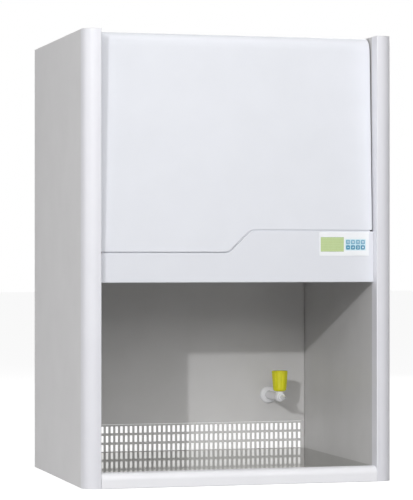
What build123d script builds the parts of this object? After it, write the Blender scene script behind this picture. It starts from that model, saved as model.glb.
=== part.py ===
from build123d import *
import os
from math import cos, radians, sin, tan

# Bench laminar flow hood, in millimetres. X is the width, +Y runs to the back and +Z is up.
# The origin lies on the bench, under the middle of the cabinet.

# Filter, the standard part that the cabinet is built round, with the room on each side of it
filter_width = 610.0
filter_length = 457.0
filter_height = 69.0
filter_side_gap = 53.0
filter_front_gap = 98.0
filter_back_gap = 12.0

# Cabinet
side_thickness = 44.0
opening_height = 468.0
header_height = 626.0
sheet = 1.2
bend_radius = 2.5
fit_gap = 0.3
seam_gap = 0.6

# Rounded aluminium profile at the front of each double-walled side, with its end caps
corner_radius = 32.0
profile_depth = 38.0
inner_edge_radius = 2.0
profile_wall = 2.2
shadow_line_width = 1.0
shadow_line_depth = 0.9
shadow_line_inset = 7.0
cap_thickness = 2.0
cap_plug = 8.0

# Base, worktop and front sill
worktop_height = 38.0
worktop_fold = 25.0
sill_radius = 18.0
sill_wall = 2.0
sill_lift = 1.0
sill_depth = 27.0
rail_width = 30.0
rail_spacing = 190.0

# Back of the work zone and its slotted grille
back_recess = 34.5
back_fold = 20.0
grille_height = 112.5
grille_foot = 2.0
slot_rows = 3
slot_width = 7.0
slot_length = 18.0
slot_pitch = 13.4
slot_row_pitch = 25.0
slot_lift = 1.5
slot_margin = 11.0

# Control fascia above the opening, with the stepped joint along its top
fascia_setback = 25.5
fascia_lip = 30.0
fascia_edge_radius = 2.6
joint_width = 4.0
joint_lift = 75.0
joint_rise = 56.0
joint_run = 58.0
joint_middle = 2.0
joint_bend = 26.0
tongue_setback = 6.0
tongue_height = 25.0
tongue_side_gap = 8.0
buffer_width = 14.0
buffer_height = 7.0

# Lifting cover
cover_side_gap = 3.5
cover_lean = 2.25
cover_drop = 2.0
cover_top_radius = 35.0
cover_return = 24.0
cover_hem = 3.0
cover_top_depth = 92.0

# Cover hinges
hinge_drop = 3.6
hinge_edge_gap = 4.0
knuckle_radius = 3.2
hinge_pin_radius = 1.5
hinge_running_gap = 0.06
leaf_thickness = 1.2
leaf_reach = 26.0
hinge_length = 60.0
hinge_end_knuckle = 18.0
hinge_inset = 65.0

# Ceiling of the work zone, diffuser and the filter's inside
ceiling_lift = 42.0
filter_wall = 18.0
filter_ledge = 20.0
gasket_thickness = 5.0
gasket_width = 14.0
pleat_pitch = 10.0
pleat_paper = 0.6
pleat_inset = 5.0
diffuser_overlap = 15.0
diffuser_columns = 16
diffuser_rows = 4
diffuser_web = 12.0
ceiling_fold = 20.0

# Plenum and blower
plenum_skirt = 22.0
plenum_slope_width = 115.0
plenum_slope_length = 78.5
wheel_radius = 90.0
wheel_width = 100.0
blade_count = 28
blade_depth = 17.0
blade_thickness = 1.2
blade_lead = 6.0
blade_camber = 2.0
wheel_ring_width = 14.0
wheel_ring_lip = 1.0
scroll_clearance = 9.0
scroll_step = 14.0
scroll_side_gap = 6.0
outlet_width = 104.0
outlet_neck = 34.0
outlet_flange = 12.0
tongue_radius = 10.0
inlet_radius = 62.0
inlet_lip = 6.0
blower_offset = 6.5
blower_headroom = 30.0
shaft_radius = 6.0
shaft_running_gap = 0.05
hub_radius = 15.0
hub_length = 26.0
motor_radius = 45.0
motor_length = 84.0
motor_boss_radius = 30.0
motor_flange_width = 8.0
motor_flange_thickness = 4.0
motor_dome = 14.0
shaft_in_motor = 58.0
shaft_end_gap = 1.0
shaft_chamfer = 0.8

# Roof with its intake slots, and the prefilter in its two rails
intake_side_margin = 90.0
intake_end_margin = 103.5
intake_columns = 20
intake_rows = 2
intake_web = 12.0
intake_offset = 31.5
roof_fold = 22.0
prefilter_thickness = 22.0
rail_lip = 12.0

# Lamps and ballast
tube_radius = 13.0
lamp_inset = 10.0
uv_inset = 86.0
tube_cap_length = 14.0
tube_cap_step = 0.4
tube_pin_radius = 1.2
tube_pin_length = 6.0
tube_pin_spacing = 13.0
lamp_drop = 22.0
lamp_y = 70.0
lamp_spacing = 36.0
socket_thickness = 12.0
socket_rim = 1.0
reflector_depth = 8.0
reflector_margin = 4.0
reflector_sheet = 0.8
ballast_length = 280.0
ballast_width = 30.0
ballast_height = 26.0
ballast_corner = 4.0

# Display panel with its keys
display_side_gap = 13.0
display_width = 132.0
display_height = 60.0
display_top_gap = 2.0
display_thickness = 1.2
display_corner = 2.0
cutout_margin = 2.5
window_width = 61.5
window_height = 36.0
window_left = 3.0
window_top = 13.0
window_inset = 0.4
key_size = 10.4
key_corner = 2.0
key_pitch = 13.3
key_rows_pitch = 13.6
key_first_x = 75.8
key_first_drop = 25.0
key_proud = 1.0
key_rim = 0.5
key_flange = 0.6
key_flange_thickness = 1.2
key_stem_radius = 2.0
key_travel = 0.8
key_clearance = 0.3
board_setback = 6.5
board_thickness = 1.6
dome_height = 0.3
dome_radius = 4.0
pillar_radius = 2.5

# Gas tap on the back wall
tap_side_gap = 107.0
tap_height = 188.0
tap_reach = 108.0
rosette_radius = 24.0
rosette_depth = 9.0
rosette_shoulder = 7.0
tap_neck_radius = 11.0
tap_bulb_radius = 14.0
tap_nose = 12.5
tap_shoulder = 10.5
tap_thread_radius = 8.3
tap_thread_length = 12.0
tap_thread_chamfer = 1.0
tap_relief_width = 2.0
tap_relief_depth = 1.0
tap_shank_radius = 10.0
tap_shank_spare = 1.0
bonnet_radius = 11.0
bonnet_height = 15.0
bonnet_chamfer = 1.0
knob_gap = 0.3
stem_radius = 4.0
stem_running_gap = 0.05
stem_depth = 12.0
stem_end_gap = 1.0
knob_radius = 22.0
knob_foot_radius = 18.0
knob_height = 56.0
knob_foot_round = 7.0
knob_rim_round = 3.0
knob_grip = 22.0
knob_flutes = 8
knob_flute_radius = 7.0
knob_flute_depth = 1.1
knob_flute_lift = 13.0
knob_recess_radius = 8.0
knob_recess_depth = 3.0
nut_across_flats = 27.0
nut_thickness = 6.0
nozzle_length = 38.0
nozzle_tip_radius = 4.2
nozzle_root_radius = 5.6
nozzle_bore_radius = 2.5
nozzle_barbs = 4
nozzle_barb_step = 1.0
nozzle_collar_radius = 8.6
nozzle_collar_length = 6.0
nozzle_neck_length = 6.0

# Mains inlet in the back of the blower bay
inlet_side_gap = 108.0
inlet_drop = 82.0
inlet_flange_width = 48.0
inlet_flange_height = 26.0
inlet_flange_thickness = 2.5
inlet_body_width = 30.0
inlet_body_height = 22.0
inlet_body_depth = 26.0
inlet_cavity_width = 24.4
inlet_cavity_height = 16.4
inlet_cavity_depth = 18.0
inlet_blade_length = 11.0
inlet_blade_width = 4.0
inlet_blade_thickness = 2.0
inlet_blade_spacing = 7.0
inlet_blade_shift = 1.6
inlet_key = 5.0

# Places worked out from the sizes above
opening_top = worktop_height + opening_height
overall_height = opening_top + header_height
overall_width = filter_width + 2 * (filter_side_gap + side_thickness)
overall_depth = fascia_setback + filter_front_gap + filter_length + filter_back_gap + back_recess
half_width = overall_width / 2
inner_x = half_width - side_thickness
liner_x = inner_x - fit_gap
front_y = -overall_depth / 2
rear_y = overall_depth / 2
side_front_y = front_y + profile_depth
back_y = rear_y - back_recess
fascia_y = front_y + fascia_setback
tongue_y = fascia_y + tongue_setback
sill_back_y = front_y + sill_depth
tray_front_y = sill_back_y + bend_radius + 2 * fit_gap
joint_low = opening_top + joint_lift
roof_height = overall_height - cover_drop
roof_fold_base = roof_height - roof_fold
cover_half = inner_x - cover_side_gap
hinge_y = fascia_y + cover_top_depth
hinge_z = roof_height - hinge_drop
ceiling_height = opening_top + ceiling_lift
plate_top = ceiling_height + sheet
filter_y = back_y - filter_back_gap - filter_length / 2
filter_base = plate_top + gasket_thickness
filter_top = filter_base + filter_height
plenum_base = filter_top + gasket_thickness
rail_foot = roof_height - 3 * sheet - prefilter_thickness - 2 * fit_gap
scroll_radius = wheel_radius + scroll_clearance + scroll_step
blower_y = filter_y + blower_offset
blower_z = rail_foot - blower_headroom - scroll_radius - 1.5 * scroll_step
outlet_drop = scroll_radius - scroll_step / 2 + outlet_neck
plenum_top = blower_z - outlet_drop
intake_width = filter_width - 2 * intake_side_margin
intake_length = filter_length - 2 * intake_end_margin
intake_y = filter_y + intake_offset
lamp_length = filter_width - 2 * lamp_inset
uv_length = filter_width - 2 * uv_inset
hinge_x = filter_width / 2 - hinge_inset
scroll_half = wheel_width / 2 + scroll_side_gap + sheet
lip_top = opening_top + sheet
display_right = inner_x - display_side_gap
display_left = display_right - display_width
display_top = joint_low + joint_rise - joint_width / 2 - display_top_gap
display_base = display_top - display_height
display_face = fascia_y - display_thickness
board_y = fascia_y + board_setback
tap_x = inner_x - tap_side_gap
tap_y = back_y - tap_reach
shank_end = back_y + sheet + nut_thickness + tap_shank_spare
inlet_x = inner_x - inlet_side_gap
inlet_height = overall_height - inlet_drop
bonnet_top = tap_height + bonnet_height
knob_base = bonnet_top + knob_gap
nozzle_root_y = tap_y - tap_nose
lamp_axis_y = fascia_y + lamp_y - lamp_spacing / 2
uv_axis_y = lamp_axis_y + lamp_spacing
tube_z = ceiling_height - lamp_drop


def slab(x_low, x_high, y_low, y_high, z_low, z_high):
    """Rectangular body between two opposite corners."""
    middle = Pos((x_low + x_high) / 2, (y_low + y_high) / 2, (z_low + z_high) / 2)
    return middle * Box(x_high - x_low, y_high - y_low, z_high - z_low)


def along_x(section, x_low, x_high):
    """Body with a constant section in Y and Z."""
    return extrude(Plane.YZ.offset(x_low) * section, x_high - x_low)


def along_y(section, y_low, y_high):
    """Body with a constant section in X and Z."""
    return extrude(Plane.XZ.offset(-y_high) * section, y_high - y_low)


def along_z(section, z_low, z_high):
    """Body with a constant section in X and Y."""
    return extrude(Plane.XY.offset(z_low) * section, z_high - z_low)


def folded(points, thickness, radius, side=Side.LEFT):
    """Section of a folded sheet whose outer line has rounded bends."""
    line = FilletPolyline(*points, radius=radius)
    return make_face(offset(line, amount=thickness, side=side))


def rectangle(x_low, x_high, z_low, z_high):
    """Rectangle between two opposite corners of a section."""
    middle = Pos((x_low + x_high) / 2, (z_low + z_high) / 2)
    return middle * Rectangle(x_high - x_low, z_high - z_low)


def slot_grid(columns, rows, column_pitch, row_pitch, width, length):
    """Grid of punched slots around the middle of a sheet."""
    return Sketch() + GridLocations(column_pitch, row_pitch, columns, rows) * Rectangle(width, length)


def write(name, part):
    """Writes one piece to its file."""
    export_step(part, f"parts/{name}.step")


def both_sides(name, left):
    """Writes a piece of the left side and its mirror image on the right."""
    write(f"{name}_left", left)
    write(f"{name}_right", mirror(left, about=Plane.YZ))


# Double-walled sides


def side_panel():
    """Outer skin of the left side, a shallow pan with flanges at its top, foot and back."""
    block = slab(-half_width, -inner_x, side_front_y, rear_y, 0, overall_height)
    rear_edge = block.edges().filter_by(Axis.Z).sort_by(Axis.X)[:2].sort_by(Axis.Y)[-1]
    block = fillet(rear_edge, bend_radius)
    open_faces = [block.faces().sort_by(Axis.X)[-1], block.faces().sort_by(Axis.Y)[0]]
    return offset(block, amount=-sheet, openings=open_faces)


def corner_outline(inset):
    """Plan of the left front profile: a quarter round and a narrow flat beside it."""
    x_low = -half_width + inset
    x_high = -inner_x - inset
    y_low = front_y + inset
    y_high = side_front_y - inset
    radius = corner_radius - inset
    diagonal = radius * (1 - cos(radians(45)))
    outline = Polyline(
        (x_low + radius, y_low), (x_high, y_low), (x_high, y_high), (x_low, y_high), (x_low, y_low + radius)
    )
    arc = ThreePointArc(
        (x_low, y_low + radius), (x_low + diagonal, y_low + diagonal), (x_low + radius, y_low)
    )
    return make_face(outline + arc)


def corner_profile():
    """Hollow extrusion of the left front edge, with the shadow line beside its inner edge."""
    outline = corner_outline(0)
    inner_corner = outline.vertices().sort_by(Axis.Y)[:2].sort_by(Axis.X)[-1]
    outline = fillet(inner_corner, inner_edge_radius)
    line_x = -inner_x - shadow_line_inset
    groove = rectangle(
        line_x - shadow_line_width / 2, line_x + shadow_line_width / 2, front_y, front_y + shadow_line_depth
    )
    section = outline - corner_outline(profile_wall) - groove
    return along_z(section, cap_thickness, overall_height - cap_thickness)


def end_cap(is_top):
    """Plastic cap of a corner profile, with a plug that fits its hollow."""
    base = overall_height - cap_thickness if is_top else 0
    plug_base = base - cap_plug if is_top else cap_thickness
    plate = along_z(corner_outline(0), base, base + cap_thickness)
    plug_inset = profile_wall + fit_gap
    plug = corner_outline(plug_inset) - corner_outline(plug_inset + profile_wall)
    return plate + along_z(plug, plug_base, plug_base + cap_plug)


def inner_wall():
    """Flat inner skin of the left side, from the foot flange to the top flange."""
    return slab(
        -inner_x - sheet, -inner_x, side_front_y, rear_y - sheet, sheet, overall_height - sheet
    )


# Base and work zone


def base_tray():
    """Tray under the worktop, with channels that carry the worktop."""
    top = worktop_height - sheet
    block = slab(-liner_x, liner_x, tray_front_y, back_y - fit_gap, 0, top)
    tray = offset(block, amount=-sheet, openings=block.faces().sort_by(Axis.Z)[-1])
    half = rail_width / 2
    line = [(-half, sheet), (-half, top), (half, top), (half, sheet)]
    channel = folded(line, sheet, bend_radius, Side.RIGHT)
    for step in (-1, 0, 1):
        section = Pos(step * rail_spacing, 0) * channel
        tray += along_y(section, tray_front_y + sheet, back_y - fit_gap - sheet)
    return tray


def worktop():
    """Polished steel worktop, folded down behind the sill."""
    fold_y = sill_back_y + fit_gap
    line = [
        (fold_y, worktop_height - worktop_fold),
        (fold_y, worktop_height),
        (back_y - fit_gap, worktop_height),
    ]
    return along_x(folded(line, sheet, bend_radius, Side.RIGHT), -liner_x, liner_x)


def front_sill():
    """Rounded sill between the two corner profiles."""
    top = worktop_height + sill_lift
    line = [(sill_back_y, top), (front_y, top), (front_y, 0), (tray_front_y - fit_gap, 0)]
    return along_x(folded(line, sill_wall, [sill_radius, bend_radius]), -liner_x, liner_x)


def back_sheet(z_low, z_high):
    """Sheet across the back, folded to the rear at both inner walls."""
    line = [
        (-liner_x, back_y + back_fold),
        (-liner_x, back_y),
        (liner_x, back_y),
        (liner_x, back_y + back_fold),
    ]
    return along_z(folded(line, sheet, bend_radius), z_low, z_high)


def rear_grille():
    """Slotted strip at the foot of the back, which lets the air of the work zone out."""
    field = 2 * (inner_x - slot_margin)
    columns = int((field - slot_width) / slot_pitch) + 1
    middle = worktop_height + slot_lift + slot_length / 2 + slot_row_pitch * (slot_rows - 1) / 2
    slots = slot_grid(columns, slot_rows, slot_pitch, slot_row_pitch, slot_width, slot_length)
    strip = back_sheet(grille_foot, grille_height)
    return strip - along_y(Pos(0, middle) * slots, back_y - sheet, back_y + 2 * sheet)


def back_wall():
    """Back of the work zone, with the hole of the gas tap."""
    hole = Pos(tap_x, tap_height) * Circle(tap_shank_radius + fit_gap)
    wall = back_sheet(grille_height + seam_gap, plate_top + ceiling_fold)
    return wall - along_y(hole, back_y - sheet, back_y + 2 * sheet)


def rear_cover():
    """Back of the blower bay, with the cut-out of the mains inlet."""
    cutout = Pos(inlet_x, inlet_height) * Rectangle(
        inlet_body_width + 2 * fit_gap, inlet_body_height + 2 * fit_gap
    )
    panel = back_sheet(plate_top + ceiling_fold + seam_gap, roof_fold_base - seam_gap)
    return panel - along_y(cutout, back_y - sheet, back_y + 2 * sheet)


# Front panels


def joint_side(is_above, inset):
    """Region on one side of the stepped joint, drawn back from its middle line."""
    reach = overall_width
    start = joint_middle - joint_run / 2
    high = joint_low + joint_rise
    line = FilletPolyline(
        (-reach, joint_low), (start, joint_low), (start + joint_run, high), (reach, high), radius=joint_bend
    )
    far = 2 * overall_height if is_above else -overall_height
    rest = Polyline((reach, high), (reach, far), (-reach, far), (-reach, joint_low))
    return offset(make_face(line + rest), amount=-inset)


def control_fascia():
    """Fascia over the opening, with returns at its edges and a tongue behind the cover."""
    half_joint = joint_width / 2
    returns = tongue_setback + sheet
    opening = rectangle(
        display_left + cutout_margin,
        display_right - cutout_margin,
        display_base + cutout_margin,
        display_top - cutout_margin,
    )
    outline = rectangle(-liner_x, liner_x, opening_top, roof_height) & joint_side(False, half_joint)
    hollow = rectangle(-liner_x + sheet, liner_x - sheet, lip_top, roof_height)
    hollow &= joint_side(False, half_joint + sheet)
    block = along_y(outline, fascia_y, fascia_y + returns)
    front_edges = block.edges().filter_by(Axis.X).group_by(Axis.Z)[0].sort_by(Axis.Y)
    block = fillet(front_edges[0], fascia_edge_radius)
    skin = block - along_y(hollow, fascia_y + sheet, fascia_y + 2 * returns)
    tongue_half = inner_x - tongue_side_gap
    tongue = rectangle(-tongue_half, tongue_half, opening_top, roof_height)
    tongue &= joint_side(False, half_joint - tongue_height)
    tongue -= joint_side(False, half_joint + sheet)
    skin += along_y(tongue, tongue_y, tongue_y + sheet)
    skin += slab(-liner_x, liner_x, tongue_y, fascia_y + fascia_lip, opening_top, lip_top)
    return skin - along_y(opening, fascia_y - sheet, fascia_y + 2 * sheet)


def cover_side(inset):
    """Side view of the cover: leaning front, rounded top edge and flat top."""
    foot = joint_low - overall_depth / 4
    slope = tan(radians(cover_lean))
    y_foot = fascia_y + (foot - joint_low) * slope
    y_top = fascia_y + (roof_height - joint_low) * slope
    corners = [(y_foot, foot), (y_top, roof_height), (rear_y, roof_height), (rear_y, foot)]
    outline = make_face(Polyline(*corners, close=True))
    front_top = outline.vertices().group_by(Axis.Y)[1][0]
    return offset(fillet(front_top, cover_top_radius), amount=-inset)


def cover_band(shallow, deep):
    """Side view of what lies between two depths behind the cover's outer face."""
    limit = rectangle(front_y, hinge_y - hinge_edge_gap, opening_top, overall_height)
    return limit & (cover_side(shallow) - cover_side(deep))


def front_cover():
    """Lifting cover: a folded skin with side flanges and a short hem along the joint."""
    half_joint = joint_width / 2
    inner_half = cover_half - sheet
    block = along_x(cover_band(0, cover_return), -cover_half, cover_half)
    block &= along_y(joint_side(True, half_joint), front_y, 0)
    hollow = along_x(cover_band(sheet, cover_return + sheet), -inner_half, inner_half)
    hollow &= along_y(joint_side(True, half_joint + sheet), front_y, 0)
    behind_hem = along_x(cover_band(cover_hem, cover_return + sheet), -inner_half, inner_half)
    behind_hem &= along_y(joint_side(True, 0), front_y, 0)
    return block - hollow - behind_hem


def cover_buffers():
    """Foam pads on the tongue, which the closed cover rests against."""
    slope = tan(radians(cover_lean))
    half = buffer_width / 2
    pads = []
    for side in (-1, 1):
        x_middle = side * (inner_x - tongue_side_gap - buffer_width)
        rise = joint_rise if side > 0 else 0
        z_low = joint_low + rise + (tongue_height - buffer_height) / 2
        z_high = z_low + buffer_height
        pad_front = fascia_y + (z_high - joint_low) * slope + sheet + fit_gap
        pads.append(slab(x_middle - half, x_middle + half, pad_front, tongue_y, z_low, z_high))
    return Compound(children=pads)


# Cover hinges


def hinge_leaf(direction, at_middle):
    """Leaf and knuckles of one side of a hinge, around its axis."""
    top = hinge_drop - sheet
    reach = direction * leaf_reach
    clear = direction * (hinge_edge_gap - fit_gap / 3)
    plate = rectangle(min(clear, reach), max(clear, reach), top - leaf_thickness, top)
    arm = rectangle(min(0, reach), max(0, reach), top - leaf_thickness, top)
    knuckle = Circle(knuckle_radius) + arm - Circle(hinge_pin_radius + hinge_running_gap)
    half = hinge_length / 2
    split = half - hinge_end_knuckle
    leaf = along_x(plate, -half, half)
    if at_middle:
        return leaf + along_x(knuckle, -split + fit_gap, split - fit_gap)
    return leaf + along_x(knuckle, -half, -split) + along_x(knuckle, split, half)


def hinge_pin():
    """Headless pin through the knuckles."""
    return along_x(Circle(hinge_pin_radius), -hinge_length / 2, hinge_length / 2)


def at_hinges(piece):
    """The same piece at both hinges."""
    places = [Pos(side * hinge_x, hinge_y, hinge_z) for side in (-1, 1)]
    return Compound(children=[place * piece for place in places])


# Roof and prefilter


def roof_panel():
    """Roof with two rows of intake slots, folded down above the rear cover."""
    line = [
        (hinge_y + hinge_edge_gap, roof_height),
        (back_y + sheet, roof_height),
        (back_y + sheet, roof_fold_base),
    ]
    panel = along_x(folded(line, sheet, bend_radius, Side.RIGHT), -liner_x, liner_x)
    column_pitch = intake_width / intake_columns
    row_pitch = intake_length / intake_rows
    width = column_pitch - intake_web
    length = row_pitch - intake_web
    slots = slot_grid(intake_columns, intake_rows, column_pitch, row_pitch, width, length)
    return panel - along_z(Pos(0, intake_y) * slots, roof_height - 2 * sheet, roof_height + sheet)


def prefilter_rail():
    """Channel under the roof that holds the left edge of the prefilter."""
    top = roof_height - sheet
    x_out = -intake_width / 2 - sheet - rail_lip
    line = [(x_out + rail_lip, top), (x_out, top), (x_out, rail_foot), (x_out + rail_lip, rail_foot)]
    section = folded(line, sheet, bend_radius)
    return along_y(section, intake_y - intake_length / 2, intake_y + intake_length / 2)


def prefilter():
    """Pleated prefilter pad in the rails."""
    half = intake_width / 2 + rail_lip + sheet - bend_radius
    base = roof_height - 2 * sheet - fit_gap - prefilter_thickness
    depth = intake_length / 2
    return slab(-half, half, intake_y - depth, intake_y + depth, base, base + prefilter_thickness)


# Ceiling, diffuser and filter


def centred(width, length):
    """Rectangle in plan around the middle of the filter."""
    return Pos(0, filter_y) * Rectangle(width, length)


def ceiling_plate():
    """Plate that carries the filter, with the opening under it and a fold at each side."""
    line = [
        (-liner_x, plate_top + ceiling_fold),
        (-liner_x, ceiling_height),
        (liner_x, ceiling_height),
        (liner_x, plate_top + ceiling_fold),
    ]
    plate = along_y(folded(line, sheet, bend_radius), tongue_y + sheet + fit_gap, back_y - fit_gap)
    window = centred(filter_width - 2 * filter_ledge, filter_length - 2 * filter_ledge)
    return plate - along_z(window, ceiling_height - sheet, plate_top + sheet)


def diffuser():
    """Slotted guard below the filter."""
    width = filter_width - 2 * filter_ledge
    length = filter_length - 2 * filter_ledge
    column_pitch = width / diffuser_columns
    row_pitch = length / diffuser_rows
    plate = centred(width + diffuser_overlap, length + diffuser_overlap)
    slots = slot_grid(
        diffuser_columns,
        diffuser_rows,
        column_pitch,
        row_pitch,
        column_pitch - diffuser_web,
        row_pitch - diffuser_web,
    )
    section = plate - Pos(0, filter_y) * slots
    return along_z(section, ceiling_height - sheet, ceiling_height)


def gasket(z_low):
    """Foam seal around the rim of the filter."""
    ring = centred(filter_width, filter_length)
    ring -= centred(filter_width - 2 * gasket_width, filter_length - 2 * gasket_width)
    return along_z(ring, z_low, z_low + gasket_thickness)


def filter_frame():
    """Board frame of the filter."""
    ring = centred(filter_width, filter_length)
    ring -= centred(filter_width - 2 * filter_wall, filter_length - 2 * filter_wall)
    return along_z(ring, filter_base, filter_top)


def filter_pleats():
    """Folded glass paper of the filter, as one zigzag across its width."""
    width = filter_width - 2 * filter_wall
    folds = int(width / pleat_pitch) * 2
    run = width / folds
    rise = filter_height - 2 * pleat_inset
    shift = pleat_paper * (run**2 + rise**2) ** 0.5 / run
    low = filter_base + pleat_inset
    lower = [(-width / 2 + k * run, low + (k % 2) * (rise - shift)) for k in range(folds + 1)]
    upper = [(x, z + shift) for x, z in reversed(lower)]
    section = make_face(Polyline(*lower, *upper, close=True))
    half = filter_length / 2 - filter_wall
    return along_y(section, filter_y - half, filter_y + half)


# Plenum and blower


def plenum():
    """Sheet hood between the filter and the blower."""
    foot = Plane.XY.offset(plenum_base)
    skirt = Plane.XY.offset(plenum_base + plenum_skirt)
    top = Plane.XY.offset(plenum_top)
    wide = Rectangle(filter_width, filter_length)
    narrow = Pos(0, blower_offset) * Rectangle(
        filter_width - 2 * plenum_slope_width, filter_length - 2 * plenum_slope_length
    )
    hood = extrude(foot * wide, plenum_skirt) + loft([skirt * wide, top * narrow])
    hood = offset(hood, amount=-sheet, openings=hood.faces().sort_by(Axis.Z)[0])
    return Pos(0, filter_y, 0) * hood - along_z(outlet_plan(0), plenum_top - 2 * sheet, plenum_top + sheet)


def outlet_span():
    """Y of the outlet's two walls, measured on the outside of the scroll."""
    outer = blower_y - wheel_radius - scroll_clearance - 3 * scroll_step
    return outer, outer + outlet_width


def outlet_plan(margin):
    """Plan of the blower outlet, grown by a margin."""
    outer, inner = outlet_span()
    width = 2 * (scroll_half - sheet + margin)
    length = inner - outer - 2 * (sheet - margin)
    return Pos(0, (outer + inner) / 2) * Rectangle(width, length)


def scroll_outline():
    """Side view of the scroll: three quarter arcs that widen into the outlet."""
    step = scroll_step
    first = scroll_radius
    arcs = []
    centres = [(step / 2, step / 2), (-step / 2, step / 2), (-step / 2, -step / 2)]
    for turn, (y_centre, z_centre) in enumerate(centres):
        arcs.append(CenterArc((y_centre, z_centre), first + turn * step, -90 + 90 * turn, 90))
    outer = outlet_span()[0] - blower_y
    inner = outlet_span()[1] - blower_y
    foot_z = step / 2 - first
    walls = Polyline(
        (-step / 2 - first - 2 * step, -step / 2),
        (outer, -outlet_drop),
        (inner, -outlet_drop),
        (inner, foot_z),
        (step / 2, foot_z),
    )
    outline = make_face(Curve() + arcs + walls)
    corner = outline.vertices().sort_by_distance((inner, foot_z))[0]
    return fillet(corner, tongue_radius)


def blower_housing():
    """Scroll with a rounded inlet on its left and the outlet flange on the plenum."""
    outline = scroll_outline()
    place = Pos(0, blower_y, blower_z)
    scroll = along_x(outline, -scroll_half, scroll_half)
    hollow = along_x(offset(outline, amount=-sheet), -scroll_half + sheet, scroll_half - sheet)
    lip = Pos(-scroll_half, 0, 0) * Rot(0, 90, 0) * Torus(inlet_radius + inlet_lip / 2, inlet_lip / 2)
    scroll += lip
    scroll -= hollow
    scroll -= along_x(Circle(inlet_radius), -scroll_half - inlet_lip, 0)
    scroll -= along_x(Circle(motor_boss_radius + fit_gap), 0, scroll_half + sheet)
    flange = along_z(outlet_plan(outlet_flange), plenum_top, plenum_top + sheet)
    scroll = place * scroll + flange
    return scroll - along_z(outlet_plan(0), plenum_top - sheet, plenum_top + 3 * sheet)


def wheel_blade():
    """Forward-curved blade of the wheel, seen along its axis."""
    inner = wheel_radius - blade_depth
    lead = radians(blade_lead)
    end = (wheel_radius * cos(lead), wheel_radius * sin(lead))
    line = ThreePointArc((inner, 0), (inner + blade_depth / 2, -blade_camber), end)
    return make_face(offset(line, amount=blade_thickness, side=Side.LEFT))


def fan_wheel():
    """Wheel of the blower: back disc, hub, ring and blades."""
    half = wheel_width / 2
    disc = along_x(Circle(wheel_radius), half - sheet, half)
    rim = Circle(wheel_radius + wheel_ring_lip) - Circle(wheel_radius - wheel_ring_width)
    ring = along_x(rim, -half - sheet, -half)
    hub = along_x(Circle(hub_radius), half - hub_length, half - sheet)
    blades = Sketch() + PolarLocations(0, blade_count) * wheel_blade()
    wheel = disc + ring + hub + along_x(blades, -half, half - sheet)
    wheel -= along_x(Circle(shaft_radius + shaft_running_gap), -half, half + sheet)
    return Pos(0, blower_y, blower_z) * wheel


def motor_shaft():
    """Shaft from the wheel's hub into the motor."""
    start = wheel_width / 2 - hub_length - sheet
    shaft = along_x(Circle(shaft_radius), start, scroll_half + shaft_in_motor)
    return Pos(0, blower_y, blower_z) * chamfer(shaft.edges(), shaft_chamfer)


def fan_motor():
    """Motor on the right side plate, with a boss in the plate and a domed end."""
    boss = scroll_half - sheet
    flange_end = scroll_half + motor_flange_thickness
    end = scroll_half + motor_length
    bore = shaft_radius + shaft_running_gap
    bore_end = scroll_half + shaft_in_motor + shaft_end_gap
    points = [
        (boss, bore),
        (boss, motor_boss_radius),
        (scroll_half, motor_boss_radius),
        (scroll_half, motor_radius + motor_flange_width),
        (flange_end, motor_radius + motor_flange_width),
        (flange_end, motor_radius),
        (end, motor_radius),
        (end, 0),
        (bore_end, 0),
        (bore_end, bore),
    ]
    section = make_face(Polyline(*points, close=True))
    shoulder = section.vertices().sort_by_distance((end, motor_radius))[0]
    section = fillet(shoulder, motor_dome)
    return Pos(0, blower_y, blower_z) * revolve(section, Axis.X)


# Lamps


def tube(length):
    """Lamp tube with metal end caps and two pins at each end."""
    half = length / 2
    radius = tube_radius
    cap = radius - tube_cap_step
    points = [
        (-half, 0),
        (-half, cap),
        (-half + tube_cap_length, cap),
        (-half + tube_cap_length, radius),
        (half - tube_cap_length, radius),
        (half - tube_cap_length, cap),
        (half, cap),
        (half, 0),
    ]
    body = revolve(make_face(Polyline(*points, close=True)), Axis.X)
    for side in (-1, 1):
        for height in (-tube_pin_spacing / 2, tube_pin_spacing / 2):
            section = Pos(0, height) * Circle(tube_pin_radius)
            middle = side * (half + tube_pin_length / 2)
            body += along_x(section, middle - tube_pin_length / 2, middle + tube_pin_length / 2)
    return body


def socket(length, side):
    """Lamp socket that hangs from the ceiling at one end of a tube."""
    width = tube_radius + socket_rim
    outline = Circle(width) + rectangle(-width, width, 0, lamp_drop - reflector_sheet)
    holes = Pos(0, tube_pin_spacing / 2) * Circle(tube_pin_radius + fit_gap)
    holes += Pos(0, -tube_pin_spacing / 2) * Circle(tube_pin_radius + fit_gap)
    near = length / 2 + fit_gap
    far = near + socket_thickness
    body = along_x(outline, min(side * near, side * far), max(side * near, side * far))
    depth = near + tube_pin_length + fit_gap
    return body - along_x(holes, min(side * near, side * depth), max(side * near, side * depth))


def lamp_sockets():
    """The four sockets of the lamp and the germicidal tube."""
    pieces = []
    for length, y_axis in ((lamp_length, lamp_axis_y), (uv_length, uv_axis_y)):
        for side in (-1, 1):
            pieces.append(Pos(0, y_axis, tube_z) * socket(length, side))
    return Compound(children=pieces)


def lamp_reflector():
    """White reflector tray above both tubes."""
    spread = tube_radius + reflector_margin + reflector_depth
    y_low = lamp_axis_y - spread
    y_high = uv_axis_y + spread
    line = [
        (y_low, ceiling_height - reflector_depth),
        (y_low + reflector_depth, ceiling_height),
        (y_high - reflector_depth, ceiling_height),
        (y_high, ceiling_height - reflector_depth),
    ]
    half = lamp_length / 2 + socket_thickness + fit_gap
    return along_x(folded(line, reflector_sheet, bend_radius, Side.RIGHT), -half, half)


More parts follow.
